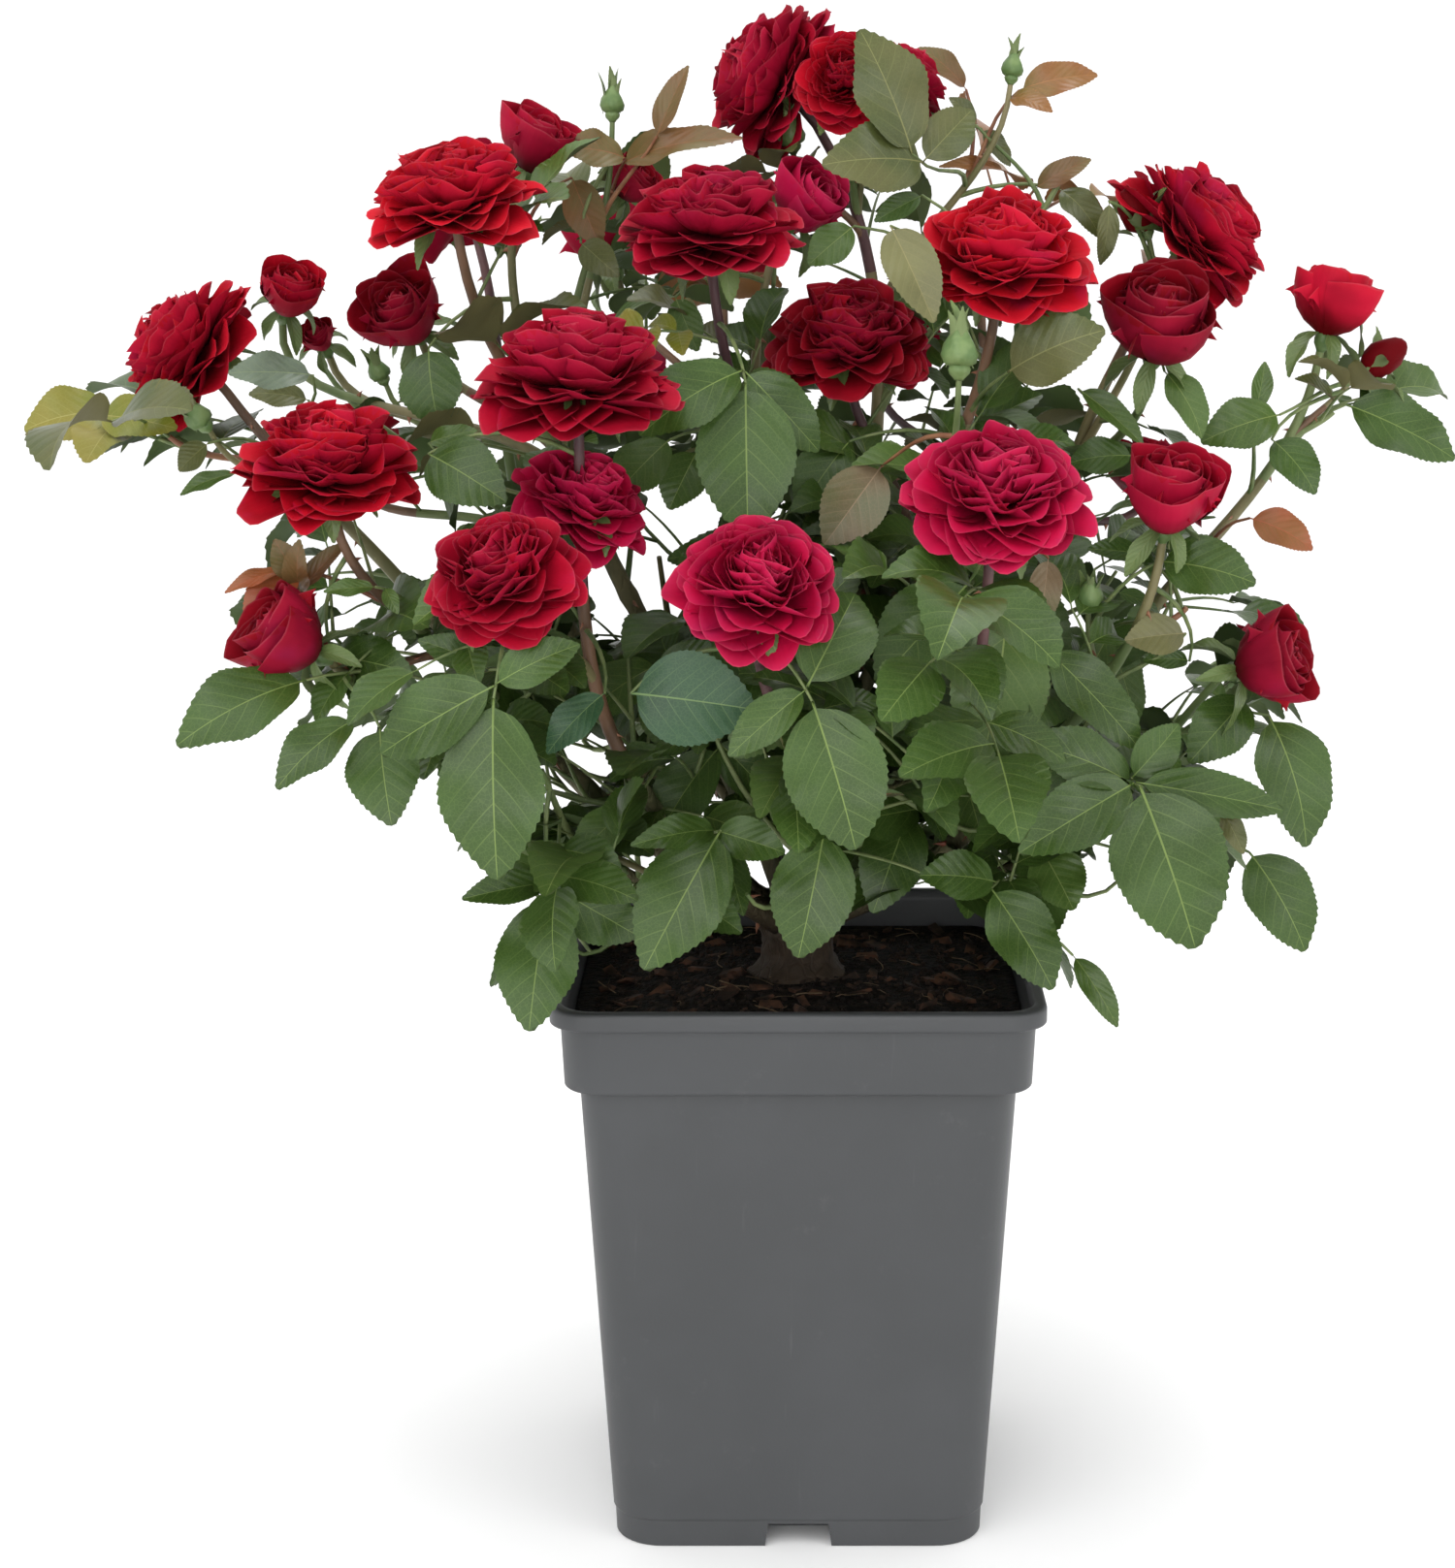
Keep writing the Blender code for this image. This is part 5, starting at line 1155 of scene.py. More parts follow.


def petal_finish(tint):
    """Velvety petal: darker at its foot as painted shade between the petals, with purple painted sheen in
    patches, and a lighter rim and thin pale line along it as painted highlight.
    """
    deep, body, rim = PETAL_TINTS[tint]
    faces = []
    for label, dull in (("petal_", 0.0), ("petal_back_", 0.22)):
        face = Finish(label + tint, 0.62, specular=0.06, sheen=0.06, sheen_tint=(1.0, 0.08, 0.14))
        u, v = face.uv()
        body_here = blend(body, PURPLE_SHEEN_AND_REVERSE, dull)
        patches = face.span(face.noise(48.0, 2.0), 0.32, 0.68)
        tone = face.mix(patches, shade(body_here, 0.70), shade(body_here, 1.12))
        # painted sheen: purple patches drawn over the petal
        painted_sheen_patches = face.span(face.noise(31.0, 2.0), 0.58, 0.76, 0.0, 0.45)
        tone = face.mix(painted_sheen_patches, tone, PURPLE_SHEEN_AND_REVERSE)
        # painted shade: darker towards the petal's foot, where the petals overlap
        flesh = face.mix(face.span(v, 0.12, 0.70), deep, tone)
        # painted highlight: lighter towards the rim
        flesh = face.mix(face.span(v, 0.82, 1.0, 0.0, 0.28), flesh, rim)
        # painted highlight: a thin pale line along the very rim
        face.colour(face.mix(face.span(v, 0.97, 1.0, 0.0, 0.14), flesh, RIM_HIGHLIGHT_LINE))
        streak = face.maths("SINE", face.maths("MULTIPLY", u, 70.0))
        relief = face.maths("ADD", face.maths("MULTIPLY", streak, 0.2), face.noise(200.0, 2.0))
        face.bump(relief, 0.2, 0.0004)
        faces.append(face.material)
    return faces[0], faces[0], faces[1]


STEM_TINTS = {
    "green": ((0.085, 0.130, 0.040), (0.170, 0.210, 0.080)),
    "olive": ((0.110, 0.110, 0.040), (0.210, 0.180, 0.085)),
    "brown": ((0.080, 0.045, 0.025), (0.190, 0.105, 0.060)),
    "purple": ((0.045, 0.020, 0.025), (0.110, 0.050, 0.050)),
    "red": ((0.170, 0.060, 0.030), (0.270, 0.130, 0.065)),
}


def stem_finish(tint):
    """Young rind: two tones in long patches, with pale specks."""
    low, high = STEM_TINTS[tint]
    rind = Finish("stem_" + tint, 0.5, specular=0.4)
    patches = rind.span(rind.noise(45.0, 3.0, stretch=(1, 1, 0.35)), 0.35, 0.65)
    specks = rind.span(rind.cells(420.0, stretch=(1, 1, 0.5)), 0.0, 0.16, 0.5, 0.0)
    rind.colour(rind.mix(specks, rind.mix(patches, low, high), shade(high, 1.8)))
    rind.bump(rind.noise(500.0, 2.0, stretch=(1, 1, 0.3)), 0.3, 0.0005)
    return rind.material


def bark_finish():
    """Old rind of canes and stock: green-brown, streaked, near black and mottled towards the foot."""
    bark = Finish("cane_bark", 0.68, specular=0.3)
    streaks = bark.span(bark.noise(70.0, 4.0, 0.6, stretch=(1, 1, 0.22)), 0.32, 0.68)
    flesh = bark.mix(streaks, (0.060, 0.070, 0.028), (0.170, 0.150, 0.075))
    # darker towards the foot: below about 0.31 m the rind turns near black and mottled
    old = bark.span(bark.split(bark.place)["Z"], 0.24, 0.31, 1.0, 0.0)
    foot_darkening = bark.mix(bark.noise(160.0, 4.0, 0.65), (0.016, 0.011, 0.007), (0.070, 0.046, 0.028))
    bark.colour(bark.mix(old, flesh, foot_darkening))
    cracks = bark.cells(190.0, "DISTANCE_TO_EDGE", stretch=(1, 1, 0.3))
    bark.bump(bark.maths("ADD", bark.span(cracks, 0.0, 0.12), bark.noise(400.0, 3.0)), 0.5, 0.0008)
    return bark.material


def plain_finish(name, low, high, roughness, scale=120.0, bump_scale=600.0):
    """Two tones in fine patches with a slight grain."""
    finish = Finish(name, roughness, specular=0.35)
    finish.colour(finish.mix(finish.span(finish.noise(scale, 3.0), 0.35, 0.65), low, high))
    finish.bump(finish.noise(bump_scale, 2.0), 0.3, 0.0006)
    return finish.material


def pot_finish():
    """Grey moulded plastic: satin, faintly dusty, with fine upright scratches."""
    pot = Finish("grey_plastic", 0.46, specular=0.42)
    cloud = pot.span(pot.noise(9.0, 4.0, 0.6), 0.30, 0.72)
    body = pot.mix(cloud, (0.042, 0.044, 0.046), (0.051, 0.053, 0.056))
    scratch = pot.span(pot.noise(170.0, 3.0, 0.7, stretch=(1, 1, 0.05)), 0.66, 0.78)
    dust = pot.span(pot.noise(60.0, 5.0, 0.75), 0.60, 0.80, 0.0, 0.35)
    body = pot.mix(pot.maths("MULTIPLY", scratch, 0.22), body, (0.11, 0.11, 0.11))
    pot.colour(pot.mix(dust, body, (0.09, 0.09, 0.09)))
    pot.roughness(pot.span(cloud, 0.0, 1.0, 0.40, 0.52))
    pot.bump(pot.maths("ADD", pot.noise(900.0, 2.0), pot.maths("MULTIPLY", scratch, -0.6)), 0.12, 0.0003)
    return pot.material


def compost_finish():
    """Black damp compost with brown crumbs and a little pale grit."""
    soil = Finish("dark_compost", 0.92, specular=0.2)
    crumbs = soil.span(soil.noise(220.0, 5.0, 0.7), 0.40, 0.66)
    body = soil.mix(crumbs, (0.0045, 0.0035, 0.0030), (0.022, 0.014, 0.009))
    grit = soil.span(soil.cells(330.0), 0.0, 0.10, 0.6, 0.0)
    soil.colour(soil.mix(grit, body, (0.10, 0.07, 0.045)))
    soil.bump(soil.maths("ADD", soil.noise(260.0, 5.0, 0.7), soil.cells(300.0)), 0.9, 0.003)
    return soil.material


# ================================================================ shapes
def turns(count):
    """Angles of a full turn in equal steps, in radians."""
    return [2 * math.pi * k / count for k in range(count)]


def close_rings(bm, rings, cap_start=True, cap_end=True):
    """Skin between rings of equal count; the ends are closed unless told."""
    for low, high in zip(rings, rings[1:]):
        for k in range(len(low)):
            n = (k + 1) % len(low)
            bm.faces.new((low[k], low[n], high[n], high[k]))
    if cap_start:
        bm.faces.new(list(reversed(rings[0])))
    if cap_end:
        bm.faces.new(rings[-1])


LEAF_FOOT = 0.05             # bare stalk of a leaflet, as a share of its length
LEAF_SWELL = 0.86            # below one, a leaflet is broadest nearer its base
LEAF_ROUND = 0.60            # roundness of the leaflet's base half
LEAF_TAPER = 0.80            # and of the half that ends in the point
LEAF_RIB = 0.011             # half the rib's width over the leaflet's width
LEAF_TOOTH = 0.017
LEAF_QUARTER = 0.52          # where a large leaflet's extra columns lie, over its half width
LEAFLET_LIFT = 0.003         # how far each large leaflet lies above the one before it
LEAF_BODY = 0.012            # thickness over length
PLAIN_LEAFLETS = 6           # shapes of the usual leaflets come first in their group
LARGE_LEAFLETS = 4
PLAIN_ROLL = 0.35            # greatest roll about its rib, in radians
LARGE_ROLL = 0.12
# Least and most fold along the rib, arch along the length and wave of the rim, and twist.
PLAIN_FORM = ((0.06, 0.26), (0.05, 0.18), (0.02, 0.08), 0.25)
LARGE_FORM = ((0.07, 0.22), (0.04, 0.12), (0.04, 0.09), 0.15)


def leaf_half_width(t):
    """Half the width of a leaflet at share t of its length."""
    if t <= LEAF_FOOT:
        return LEAF_RIB * 1.6
    s = ((t - LEAF_FOOT) / (1 - LEAF_FOOT)) ** LEAF_SWELL
    return max(LEAF_RIB * 1.6, 0.5 * math.sin(math.pi * s) ** (LEAF_ROUND if s < 0.5 else LEAF_TAPER))


class Blade:
    """Closed thin shape in the making; each face carries a finish: 0 upper, 1 rib, 2 lower."""

    def __init__(self):
        self.bm = bmesh.new()
        self.finish = self.bm.faces.layers.int.new("finish")
        self.uv = self.bm.loops.layers.uv.new("UVMap")
        self.flat = {}

    def vertex(self, place, uv=None):
        made = self.bm.verts.new(place)
        self.flat[made] = uv or (made.co.x + 0.5, made.co.y)
        return made

    def face(self, corners, finish):
        made = self.bm.faces.new(list(dict.fromkeys(corners)))
        made[self.finish] = finish
        made.smooth = True
        for loop in made.loops:
            loop[self.uv].uv = self.flat[loop.vert]

    def done(self):
        """Sharpens the rim, where the lower side meets the others."""
        for edge in self.bm.edges:
            edge.smooth = len({f[self.finish] == 2 for f in edge.link_faces}) == 1
        return self.bm


def leaflet_shape(teeth, quarter, fold, arch, wave, twist):
    """Closed toothed leaflet, one long along Y and one wide, with its upper side towards Z."""
    blade = Blade()
    marks = [0.0] + [LEAF_FOOT + (1 - LEAF_FOOT) * i / teeth for i in range(teeth)]

    def vertex(x, t, drop=0.0):
        z = fold * abs(x) + arch * 4 * t * (1 - t) + twist * x * (t - 0.4) - drop
        return blade.vertex((x, t, z + wave * math.sin(11 * t + 3 * x) * abs(x)))

    upper = []
    lower = []
    for t in marks:
        half = leaf_half_width(t)
        rib = LEAF_RIB * (1 - 0.6 * t)
        sides = (half, half * LEAF_QUARTER, rib) if quarter else (half, rib)
        upper.append([vertex(-x, t) for x in sides] + [vertex(x, t) for x in reversed(sides)])
        under = (-half * LEAF_QUARTER, 0.0, half * LEAF_QUARTER) if quarter else (0.0,)
        lower.append([upper[-1][0]] + [vertex(x, t, LEAF_BODY) for x in under] + [upper[-1][-1]])
    tip = vertex(0.0, 1.0)
    upper.append([tip] * len(upper[0]))
    lower.append([tip] * len(lower[0]))
    marks.append(1.0)
    last = len(upper[0]) - 1
    for i in range(len(marks) - 1):
        left = []
        right = []
        if i > 0:
            span = marks[i + 1] - marks[i]
            x = leaf_half_width(marks[i] + 0.62 * span) + LEAF_TOOTH
            left, right = ([vertex(side * x, marks[i] + 0.80 * span)] for side in (-1, 1))
        near, far = upper[i], upper[i + 1]
        for k in range(last):
            corners = [near[k], near[k + 1]] + (right if k == last - 1 else [])
            corners += [far[k + 1], far[k]] + (left if k == 0 else [])
            blade.face(corners, 1 if k == last // 2 else 0)
        below, beyond = lower[i], lower[i + 1]
        for k in range(len(below) - 1):
            corners = [below[k]] + (left if k == 0 else []) + [beyond[k], beyond[k + 1]]
            blade.face(corners + (right if k == len(below) - 2 else []) + [below[k + 1]], 2)
    blade.face(lower[0] + upper[0][-2:0:-1], 2)
    return blade.done()


def leaflet_shapes():
    rng = random.Random(5)
    shapes = []
    for i in range(PLAIN_LEAFLETS + LARGE_LEAFLETS):
        large = i >= PLAIN_LEAFLETS
        fold, arch, wave, twist = LARGE_FORM if large else PLAIN_FORM
        shapes.append(leaflet_shape(18 if large else 12, large, rng.uniform(*fold), rng.uniform(*arch),
                                    rng.uniform(*wave), rng.uniform(-twist, twist)))
    return shapes


PETAL_FOOT = 0.24
PETAL_BROADEST = 0.70
PETAL_BODY = 0.012
# Cup, bulge, roll of the rim outwards, ruffle, waves across, of the petals from the heart out.
HEART = (0.62, 0.13, -0.08, 0.060, 1.9)
MIDDLE = (0.30, 0.14, 0.05, 0.044, 1.7)
OUTER = (0.15, 0.12, 0.15, 0.036, 1.5)
GUARD = (0.42, 0.20, 0.10, 0.025, 1.1)
PETAL_KINDS = 4              # shapes of each of the four
PETAL_COLUMNS = 10
PETAL_ROWS = 5


def petal_shape(form, phase):
    """Closed petal, one long along Z and one wide, with its inner face towards -Y."""
    cup, bulge, roll, ruffle, waves = form
    columns, rows = PETAL_COLUMNS, PETAL_ROWS
    blade = Blade()

    def vertex(i, j, thick):
        u = 2 * i / columns - 1
        v = (j / rows) ** 0.85
        broad = PETAL_FOOT + (1 - PETAL_FOOT) * math.sin(math.pi / 2 * min(1, v / PETAL_BROADEST))
        wave = math.sin(waves * math.pi * u + phase)
        lobe = math.sin(2.3 * u + 2 * phase)
        nick = math.sin(6.0 * u + 3.1 * phase) + 0.6 * math.sin(11.0 * u + phase)
        z = v * (1 - 0.36 * abs(u) ** 2.4 * v * v) + (0.026 * lobe + 0.008 * nick) * v ** 4
        y = bulge * math.sin(math.pi * v) - cup * (u * broad) ** 2 + ruffle * wave * v ** 3
        y += roll * max(0.0, v - 0.45) ** 2 / 0.3 + 0.03 * lobe * v * v
        return blade.vertex((u * broad / 2, y + thick, z), (i / columns, v))

    inner = [[vertex(i, j, 0.0) for i in range(columns + 1)] for j in range(rows + 1)]
    outer = [[inner[j][i] if i in (0, columns) or j in (0, rows) else vertex(i, j, PETAL_BODY)
              for i in range(columns + 1)] for j in range(rows + 1)]
    for grid, finish in ((inner, 0), (outer, 2)):
        for j in range(rows):
            for i in range(columns):
                corners = [grid[j][i], grid[j][i + 1], grid[j + 1][i + 1], grid[j + 1][i]]
                blade.face(reversed(corners) if finish else corners, finish)
    return blade.done()


def petal_shapes():
    return [petal_shape(form, 1.3 + 1.9 * k)
            for form in (HEART, MIDDLE, OUTER, GUARD) for k in range(PETAL_KINDS)]


def turned_shape(profile, sides, lobes, swirl):
    """Closed turned body, one long along Z, from radii and heights, with five soft lobes."""
    bm = bmesh.new()
    rings = []
    for radius, z in profile:
        radii = [radius * (1 + lobes * math.cos(5 * (a + swirl * z))) for a in turns(sides)]
        rings.append([bm.verts.new((r * math.cos(a), r * math.sin(a), z))
                      for a, r in zip(turns(sides), radii)])
    close_rings(bm, rings)
    for made in bm.faces:
        made.smooth = len(made.verts) == 4
    return bm


HIP = ((0.42, 0.0), (0.50, 0.10), (0.90, 0.38), (1.0, 0.62), (0.88, 0.86), (0.60, 1.0))
GREEN_BUD = ((0.40, 0.0), (0.86, 0.10), (1.0, 0.26), (0.84, 0.48), (0.50, 0.70), (0.22, 0.86), (0.04, 1.0))
RED_BUD = ((0.35, 0.0), (0.88, 0.18), (1.0, 0.42), (0.84, 0.68), (0.56, 0.88), (0.30, 0.97), (0.06, 1.0))


def body_shapes():
    return [turned_shape(HIP, 10, 0.03, 0.0), turned_shape(GREEN_BUD, 15, 0.10, 0.8),
            turned_shape(RED_BUD, 15, 0.07, 2.4)]


def prickle_shape():
    """Hooked prickle, one long along Z, that bends towards -Y."""
    bm = bmesh.new()
    levels = ((0.20, 0.46, 0.0, -0.12), (0.13, 0.26, -0.06, 0.30), (0.06, 0.10, -0.26, 0.72),
              (0.012, 0.015, -0.50, 1.0))
    close_rings(bm, [[bm.verts.new((half_wide * math.cos(a), sink + half_deep * math.sin(a), z))
                      for a in turns(6)] for half_wide, half_deep, sink, z in levels])
    for made in bm.faces:
        made.smooth = True
    return bm


def chip_shape(rng, flat):
    """Chip of bark, one long: a flat box with broken corners."""
    bm = bmesh.new()
    bmesh.ops.create_cube(bm, size=1.0)
    for v in bm.verts:
        v.co = Vector((v.co.x * rng.uniform(0.7, 1.1), v.co.y * rng.uniform(0.3, 0.6),
                       v.co.z * flat * rng.uniform(0.6, 1.3)))
    bmesh.ops.bevel(bm, geom=bm.edges[:], offset=0.05 * flat + 0.01, segments=1, affect="EDGES")
    return bm


def crumb_shape(rng):
    """Lump of compost, one across."""
    bm = bmesh.new()
    bmesh.ops.create_icosphere(bm, subdivisions=1, radius=0.5)
    for v in bm.verts:
        v.co *= rng.uniform(0.65, 1.15)
    return bm


def fibre_shape(rng):
    """Bent fibre, one long."""
    bm = bmesh.new()
    rings = []
    for i in range(6):
        s = i / 5
        centre = Vector((s - 0.5, 0.16 * math.sin(3 * s + rng.uniform(0, 1)), 0.10 * math.sin(2.6 * s)))
        rings.append([bm.verts.new(centre + Vector((0, 0.018 * math.cos(a), 0.018 * math.sin(a))))
                      for a in (0.0, 2.1, 4.2)])
    close_rings(bm, rings)
    return bm


# ================================================================ placing
def turn_to(x, y, z):
    """Turn whose axes are the three unit vectors, as four numbers."""
    return tuple(Matrix((x, y, z)).transposed().to_quaternion())


def leaflet_row(base, tip, hint, width, kind, roll=0.0):
    """A leaflet or sepal from base to tip, its upper side towards hint, rolled a little."""
    way = tip - base
    length = way.length
    y = way.normalized()
    z = across(y, hint)
    z = (z * math.cos(roll) + y.cross(z) * math.sin(roll)).normalized()
    return (base, turn_to(y.cross(z), y, z), (width * length, length, length), kind)


def deal_leaves(leaves):
    """Rows of leaflets and chains of petioles, by the tint of their spray."""
    rng = random.Random(8)
    rows = {}
    petioles = {"green": [], "red": []}
    for leaf in leaves:
        tint = leaf.get("tint") or spray_tint(leaf, rng)
        for order, blade in enumerate(leaf["blades"]):
            kind = rng.randrange(PLAIN_LEAFLETS)
            if leaf["large"]:
                kind = PLAIN_LEAFLETS + rng.randrange(LARGE_LEAFLETS)
            roll = LARGE_ROLL if leaf["large"] else PLAIN_ROLL
            roll = rng.uniform(-roll, roll)
            lift = blade["normal"] * (LEAFLET_LIFT * order if leaf["large"] else 0.0)
            rows.setdefault(tint, []).append(leaflet_row(
                blade["base"] + lift * 0.3, blade["tip"] + lift, blade["normal"], blade["shape"],
                kind, roll))
        thick = PETIOLE_RADIUS * (0.75 if leaf["large"] else 0.55)
        tone = "red" if tint in ("bronze", "red", "orange", "pink") else "green"
        radii = [thick * share for share in taper(1.35, 0.62, 6)]
        petioles[tone].append((stations(leaf["petiole"], 6), radii))
    return rows, petioles


def flower_frame(flower, spin):
    """Turn that takes Z to the way the flower faces."""
    z = flower["face"]
    x = across(z, Vector((1.0, 0.0, 0.0)))
    return Matrix((x, z.cross(x), z)).transposed() @ Matrix.Rotation(spin, 3, "Z")


def petal_row(flower, frame, turn, tilt, roll, foot_radius, foot_height, width, length, kind):
    """One petal round the flower's axis, leaning out from it by tilt degrees."""
    foot = Vector((foot_radius * math.cos(turn), foot_radius * math.sin(turn), foot_height))
    spin = (frame @ Matrix.Rotation(turn - math.pi / 2, 3, "Z")
            @ Matrix.Rotation(-math.radians(tilt), 3, "X") @ Matrix.Rotation(roll, 3, "Y"))
    return (flower["centre"] + frame @ foot, tuple(spin.to_quaternion()), (width, length, length), kind)


def full_bloom(flower, rng):
    """Rosette: folded petals in quarters at its heart, then broader and flatter ones round them."""
    size = flower["width"]
    frame = flower_frame(flower, rng.uniform(0, 6))
    rows = []
    for i in range(FULL_PETALS):
        t = i / (FULL_PETALS - 1)
        turn = i * GOLDEN_TURN + rng.uniform(-0.22, 0.22)
        if t < 0.40:
            turn += 0.25 * math.sin(4 * turn)
        tilt = lerp(-8, 92, t ** 0.60) + rng.uniform(-1, 1) * lerp(14, 11, t)
        form = 0 if t < 0.24 else 1 if t < 0.58 else 2
        down = max(0.0, -(frame @ level(turn)).z)
        loose = lerp(0.55, 0.22, t)
        rows.append(petal_row(
            flower, frame, turn, tilt, rng.uniform(-loose, loose),
            size * lerp(0.010, 0.050, t), size * (lerp(-0.03, -0.10, t) + rng.uniform(-0.02, 0.02) * t),
            size * lerp(0.18, 0.41, t ** 0.8) * rng.uniform(0.78, 1.12),
            size * lerp(0.20, 0.455, t ** 0.55) * rng.uniform(0.86, 1.05) * (1 - LOW_PETALS * down * t),
            form * PETAL_KINDS + rng.randrange(PETAL_KINDS)))
    return rows


def cup_bloom(flower, rng):
    """Half open flower: large round petals furled into a cup, the outermost bent out."""
    size = flower["width"]
    frame = flower_frame(flower, rng.uniform(0, 6))
    foot = HIP_LENGTH * 0.7 - FLOWER_FOOT["cup"] * size
    rows = []
    for i in range(CUP_PETALS):
        t = i / (CUP_PETALS - 1)
        tilt = lerp(-4, 15, t / 0.75) if t < 0.75 else lerp(16, 36, (t - 0.75) / 0.25)
        rows.append(petal_row(
            flower, frame, i * GOLDEN_TURN, tilt + rng.uniform(-5, 5),
            rng.uniform(-0.15, 0.15), size * lerp(0.01, 0.06, t), foot,
            size * lerp(0.34, 0.70, t ** 0.7) * rng.uniform(0.92, 1.08),
            size * lerp(0.58, 0.74, t) * rng.uniform(0.94, 1.05),
            (0 if t < 0.25 else 3) * PETAL_KINDS + rng.randrange(PETAL_KINDS)))
    return rows


def sepal_rows(flower, foot, radius, tilts, length, width, rng):
    """Five sepals round the hip's top."""
    frame = flower_frame(flower, rng.uniform(0, 6))
    rows = []
    for a in turns(5):
        radial = frame @ level(a)
        axis = flower["face"]
        tilt = math.radians(rng.uniform(*tilts))
        way = radial * math.sin(tilt) + axis * math.cos(tilt)
        inside = axis * math.sin(tilt) - radial * math.cos(tilt)
        base = foot + radial * radius
        rows.append(leaflet_row(base, base + way * length * rng.uniform(0.8, 1.15), inside, width,
                                rng.randrange(PLAIN_LEAFLETS)))
    return rows


def upright_row(place, frame, radius, length, kind):
    """A turned body that stands at place along the frame's axis."""
    return (place, tuple(frame.to_quaternion()), (radius, radius, length), kind)


def lay_flowers(stalks):
    """Rows of petals by tint, hips and green buds, red buds, and sepals."""
    rng = random.Random(12)
    petals = {}
    green = []
    red = []
    sepals = []
    for flower in stalks:
        form, size, face = flower["form"], flower["width"], flower["face"]
        if form == "leafy":
            continue
        foot = flower["centre"] - face * (FLOWER_FOOT[form] * size)
        frame = flower_frame(flower, rng.uniform(0, 6))
        if form == "bud":
            green.append(upright_row(foot, frame, size * 0.24, size * 0.36, 0))
            bud = foot + face * (size * 0.25)
            if flower["tint"] == "red":
                red.append(upright_row(bud, frame, size * 0.46, size * 1.30, 2))
                sepals += sepal_rows(flower, bud, size * 0.30, (38, 70), size * 1.25, 0.30, rng)
            else:
                green.append(upright_row(bud, frame, size * 0.38, size * 1.02, 1))
                sepals += sepal_rows(flower, bud, size * 0.30, (-8, 8), size * 1.30, 0.22, rng)
            continue
        lay = full_bloom if form == "full" else cup_bloom
        petals.setdefault(flower["tint"], []).extend(lay(flower, rng))
        green.append(upright_row(foot - face * 0.001, frame, HIP_RADIUS, HIP_LENGTH, 0))
        tilts, least, share = ((105, 150), 0.013, 0.16) if form == "full" else ((118, 160), 0.010, 0.28)
        sepals += sepal_rows(flower, foot + face * (HIP_LENGTH * 0.9), HIP_RADIUS * 0.6, tilts,
                             least + share * size, 0.34, rng)
    return petals, green, red, sepals


# ================================================================ stems and wood
PEDUNCLE_SHARE = 0.62        # share of a flower's stalk where its own colour starts
STALK_POINTS = 14


def stalk_chains(stalks):
    """Chains of stalk points by colour, the last stretch under a flower apart."""
    rng = random.Random(3)
    chains = {tint: [] for tint in STEM_TINTS}
    for stalk in stalks:
        points = stations(stalk["curve"], STALK_POINTS)
        radii = taper(stalk["radius"] * 1.05, stalk["tip_radius"] * 1.12, STALK_POINTS)
        low = rng.choice(("olive", "olive", "green", "brown"))
        high = rng.choice(("green", "olive"))
        if stalk["form"] == "full":
            high = "purple" if stalk["tint"] in ("crimson", "pink", "dark") else "brown"
            points[-1] = points[-1] + stalk["face"] * STALK_INTO_FLOWER
        elif stalk["form"] == "leafy":
            high = low = rng.choice(("green", "green", "olive", "red"))
        cut = int(PEDUNCLE_SHARE * STALK_POINTS)
        chains[low].append((points[:cut + 1], radii[:cut + 1]))
        chains[high].append((points[cut:], radii[cut:]))
    return chains


def prickle_rows(stems):
    """Hooked prickles round the stems, spaced by the golden turn."""
    rng = random.Random(77)
    rows = []
    for curve, radius, tip_radius, step, size in stems:
        count = int(stem_length(curve) / step)
        turn = rng.uniform(0, 6)
        for i in range(count):
            share = 0.06 + 0.80 * (i + rng.uniform(0.2, 0.8)) / count
            turn += GOLDEN_TURN
            way = heading(curve, share)
            out = round_stem(way, turn)
            place = along(curve, share) + out * lerp(radius, tip_radius, share) * 0.9
            length_here = size * rng.uniform(0.7, 1.2)
            rows.append((place, turn_to(way.cross(out), way, out), (length_here,) * 3, 0))
    return rows


CANE_RINGS = 34
CANE_SIDES = 12
NODE_SPACING = 0.021
NODE_WIDTH = 0.0022


def add_cane(bm, limb, seed):
    """Tapering cane with swollen nodes, furrows and small knobs, its ends sunk in its neighbours."""
    curve, base_radius, tip_radius = limb
    length = stem_length(curve)
    side = across(heading(curve, 0.0), UP.cross(heading(curve, 0.0)))
    rings = []
    for i in range(CANE_RINGS + 1):
        t = i / CANE_RINGS
        centre = along(curve, t)
        way = heading(curve, t)
        if i == 0:
            centre = centre - way * 0.003
        if i == CANE_RINGS:
            centre = centre + way * 0.002
        side = across(way, side)
        other = way.cross(side)
        past_node = (t * length + seed * 0.004) % NODE_SPACING - NODE_SPACING / 2
        swell = 1.04 + 0.22 * math.exp(-(past_node / NODE_WIDTH) ** 2)
        swell += 0.30 * math.exp(-t * length / 0.006)
        radius = lerp(base_radius, tip_radius, t) * swell
        ring = []
        for a in turns(CANE_SIDES):
            out = side * math.cos(a) + other * math.sin(a)
            relief = 0.10 * noise.noise((centre + out * 0.004) * 420) + 0.05 * math.cos(4 * a + seed + 3 * t)
            ring.append(bm.verts.new(centre + out * radius * (1 + relief)))
        rings.append(ring)
    close_rings(bm, rings)


def make_canes(limbs, bark):
    bm = bmesh.new()
    for seed, limb in enumerate(limbs.values()):
        add_cane(bm, limb, seed)
    return plain_object("canes", bm, bark)


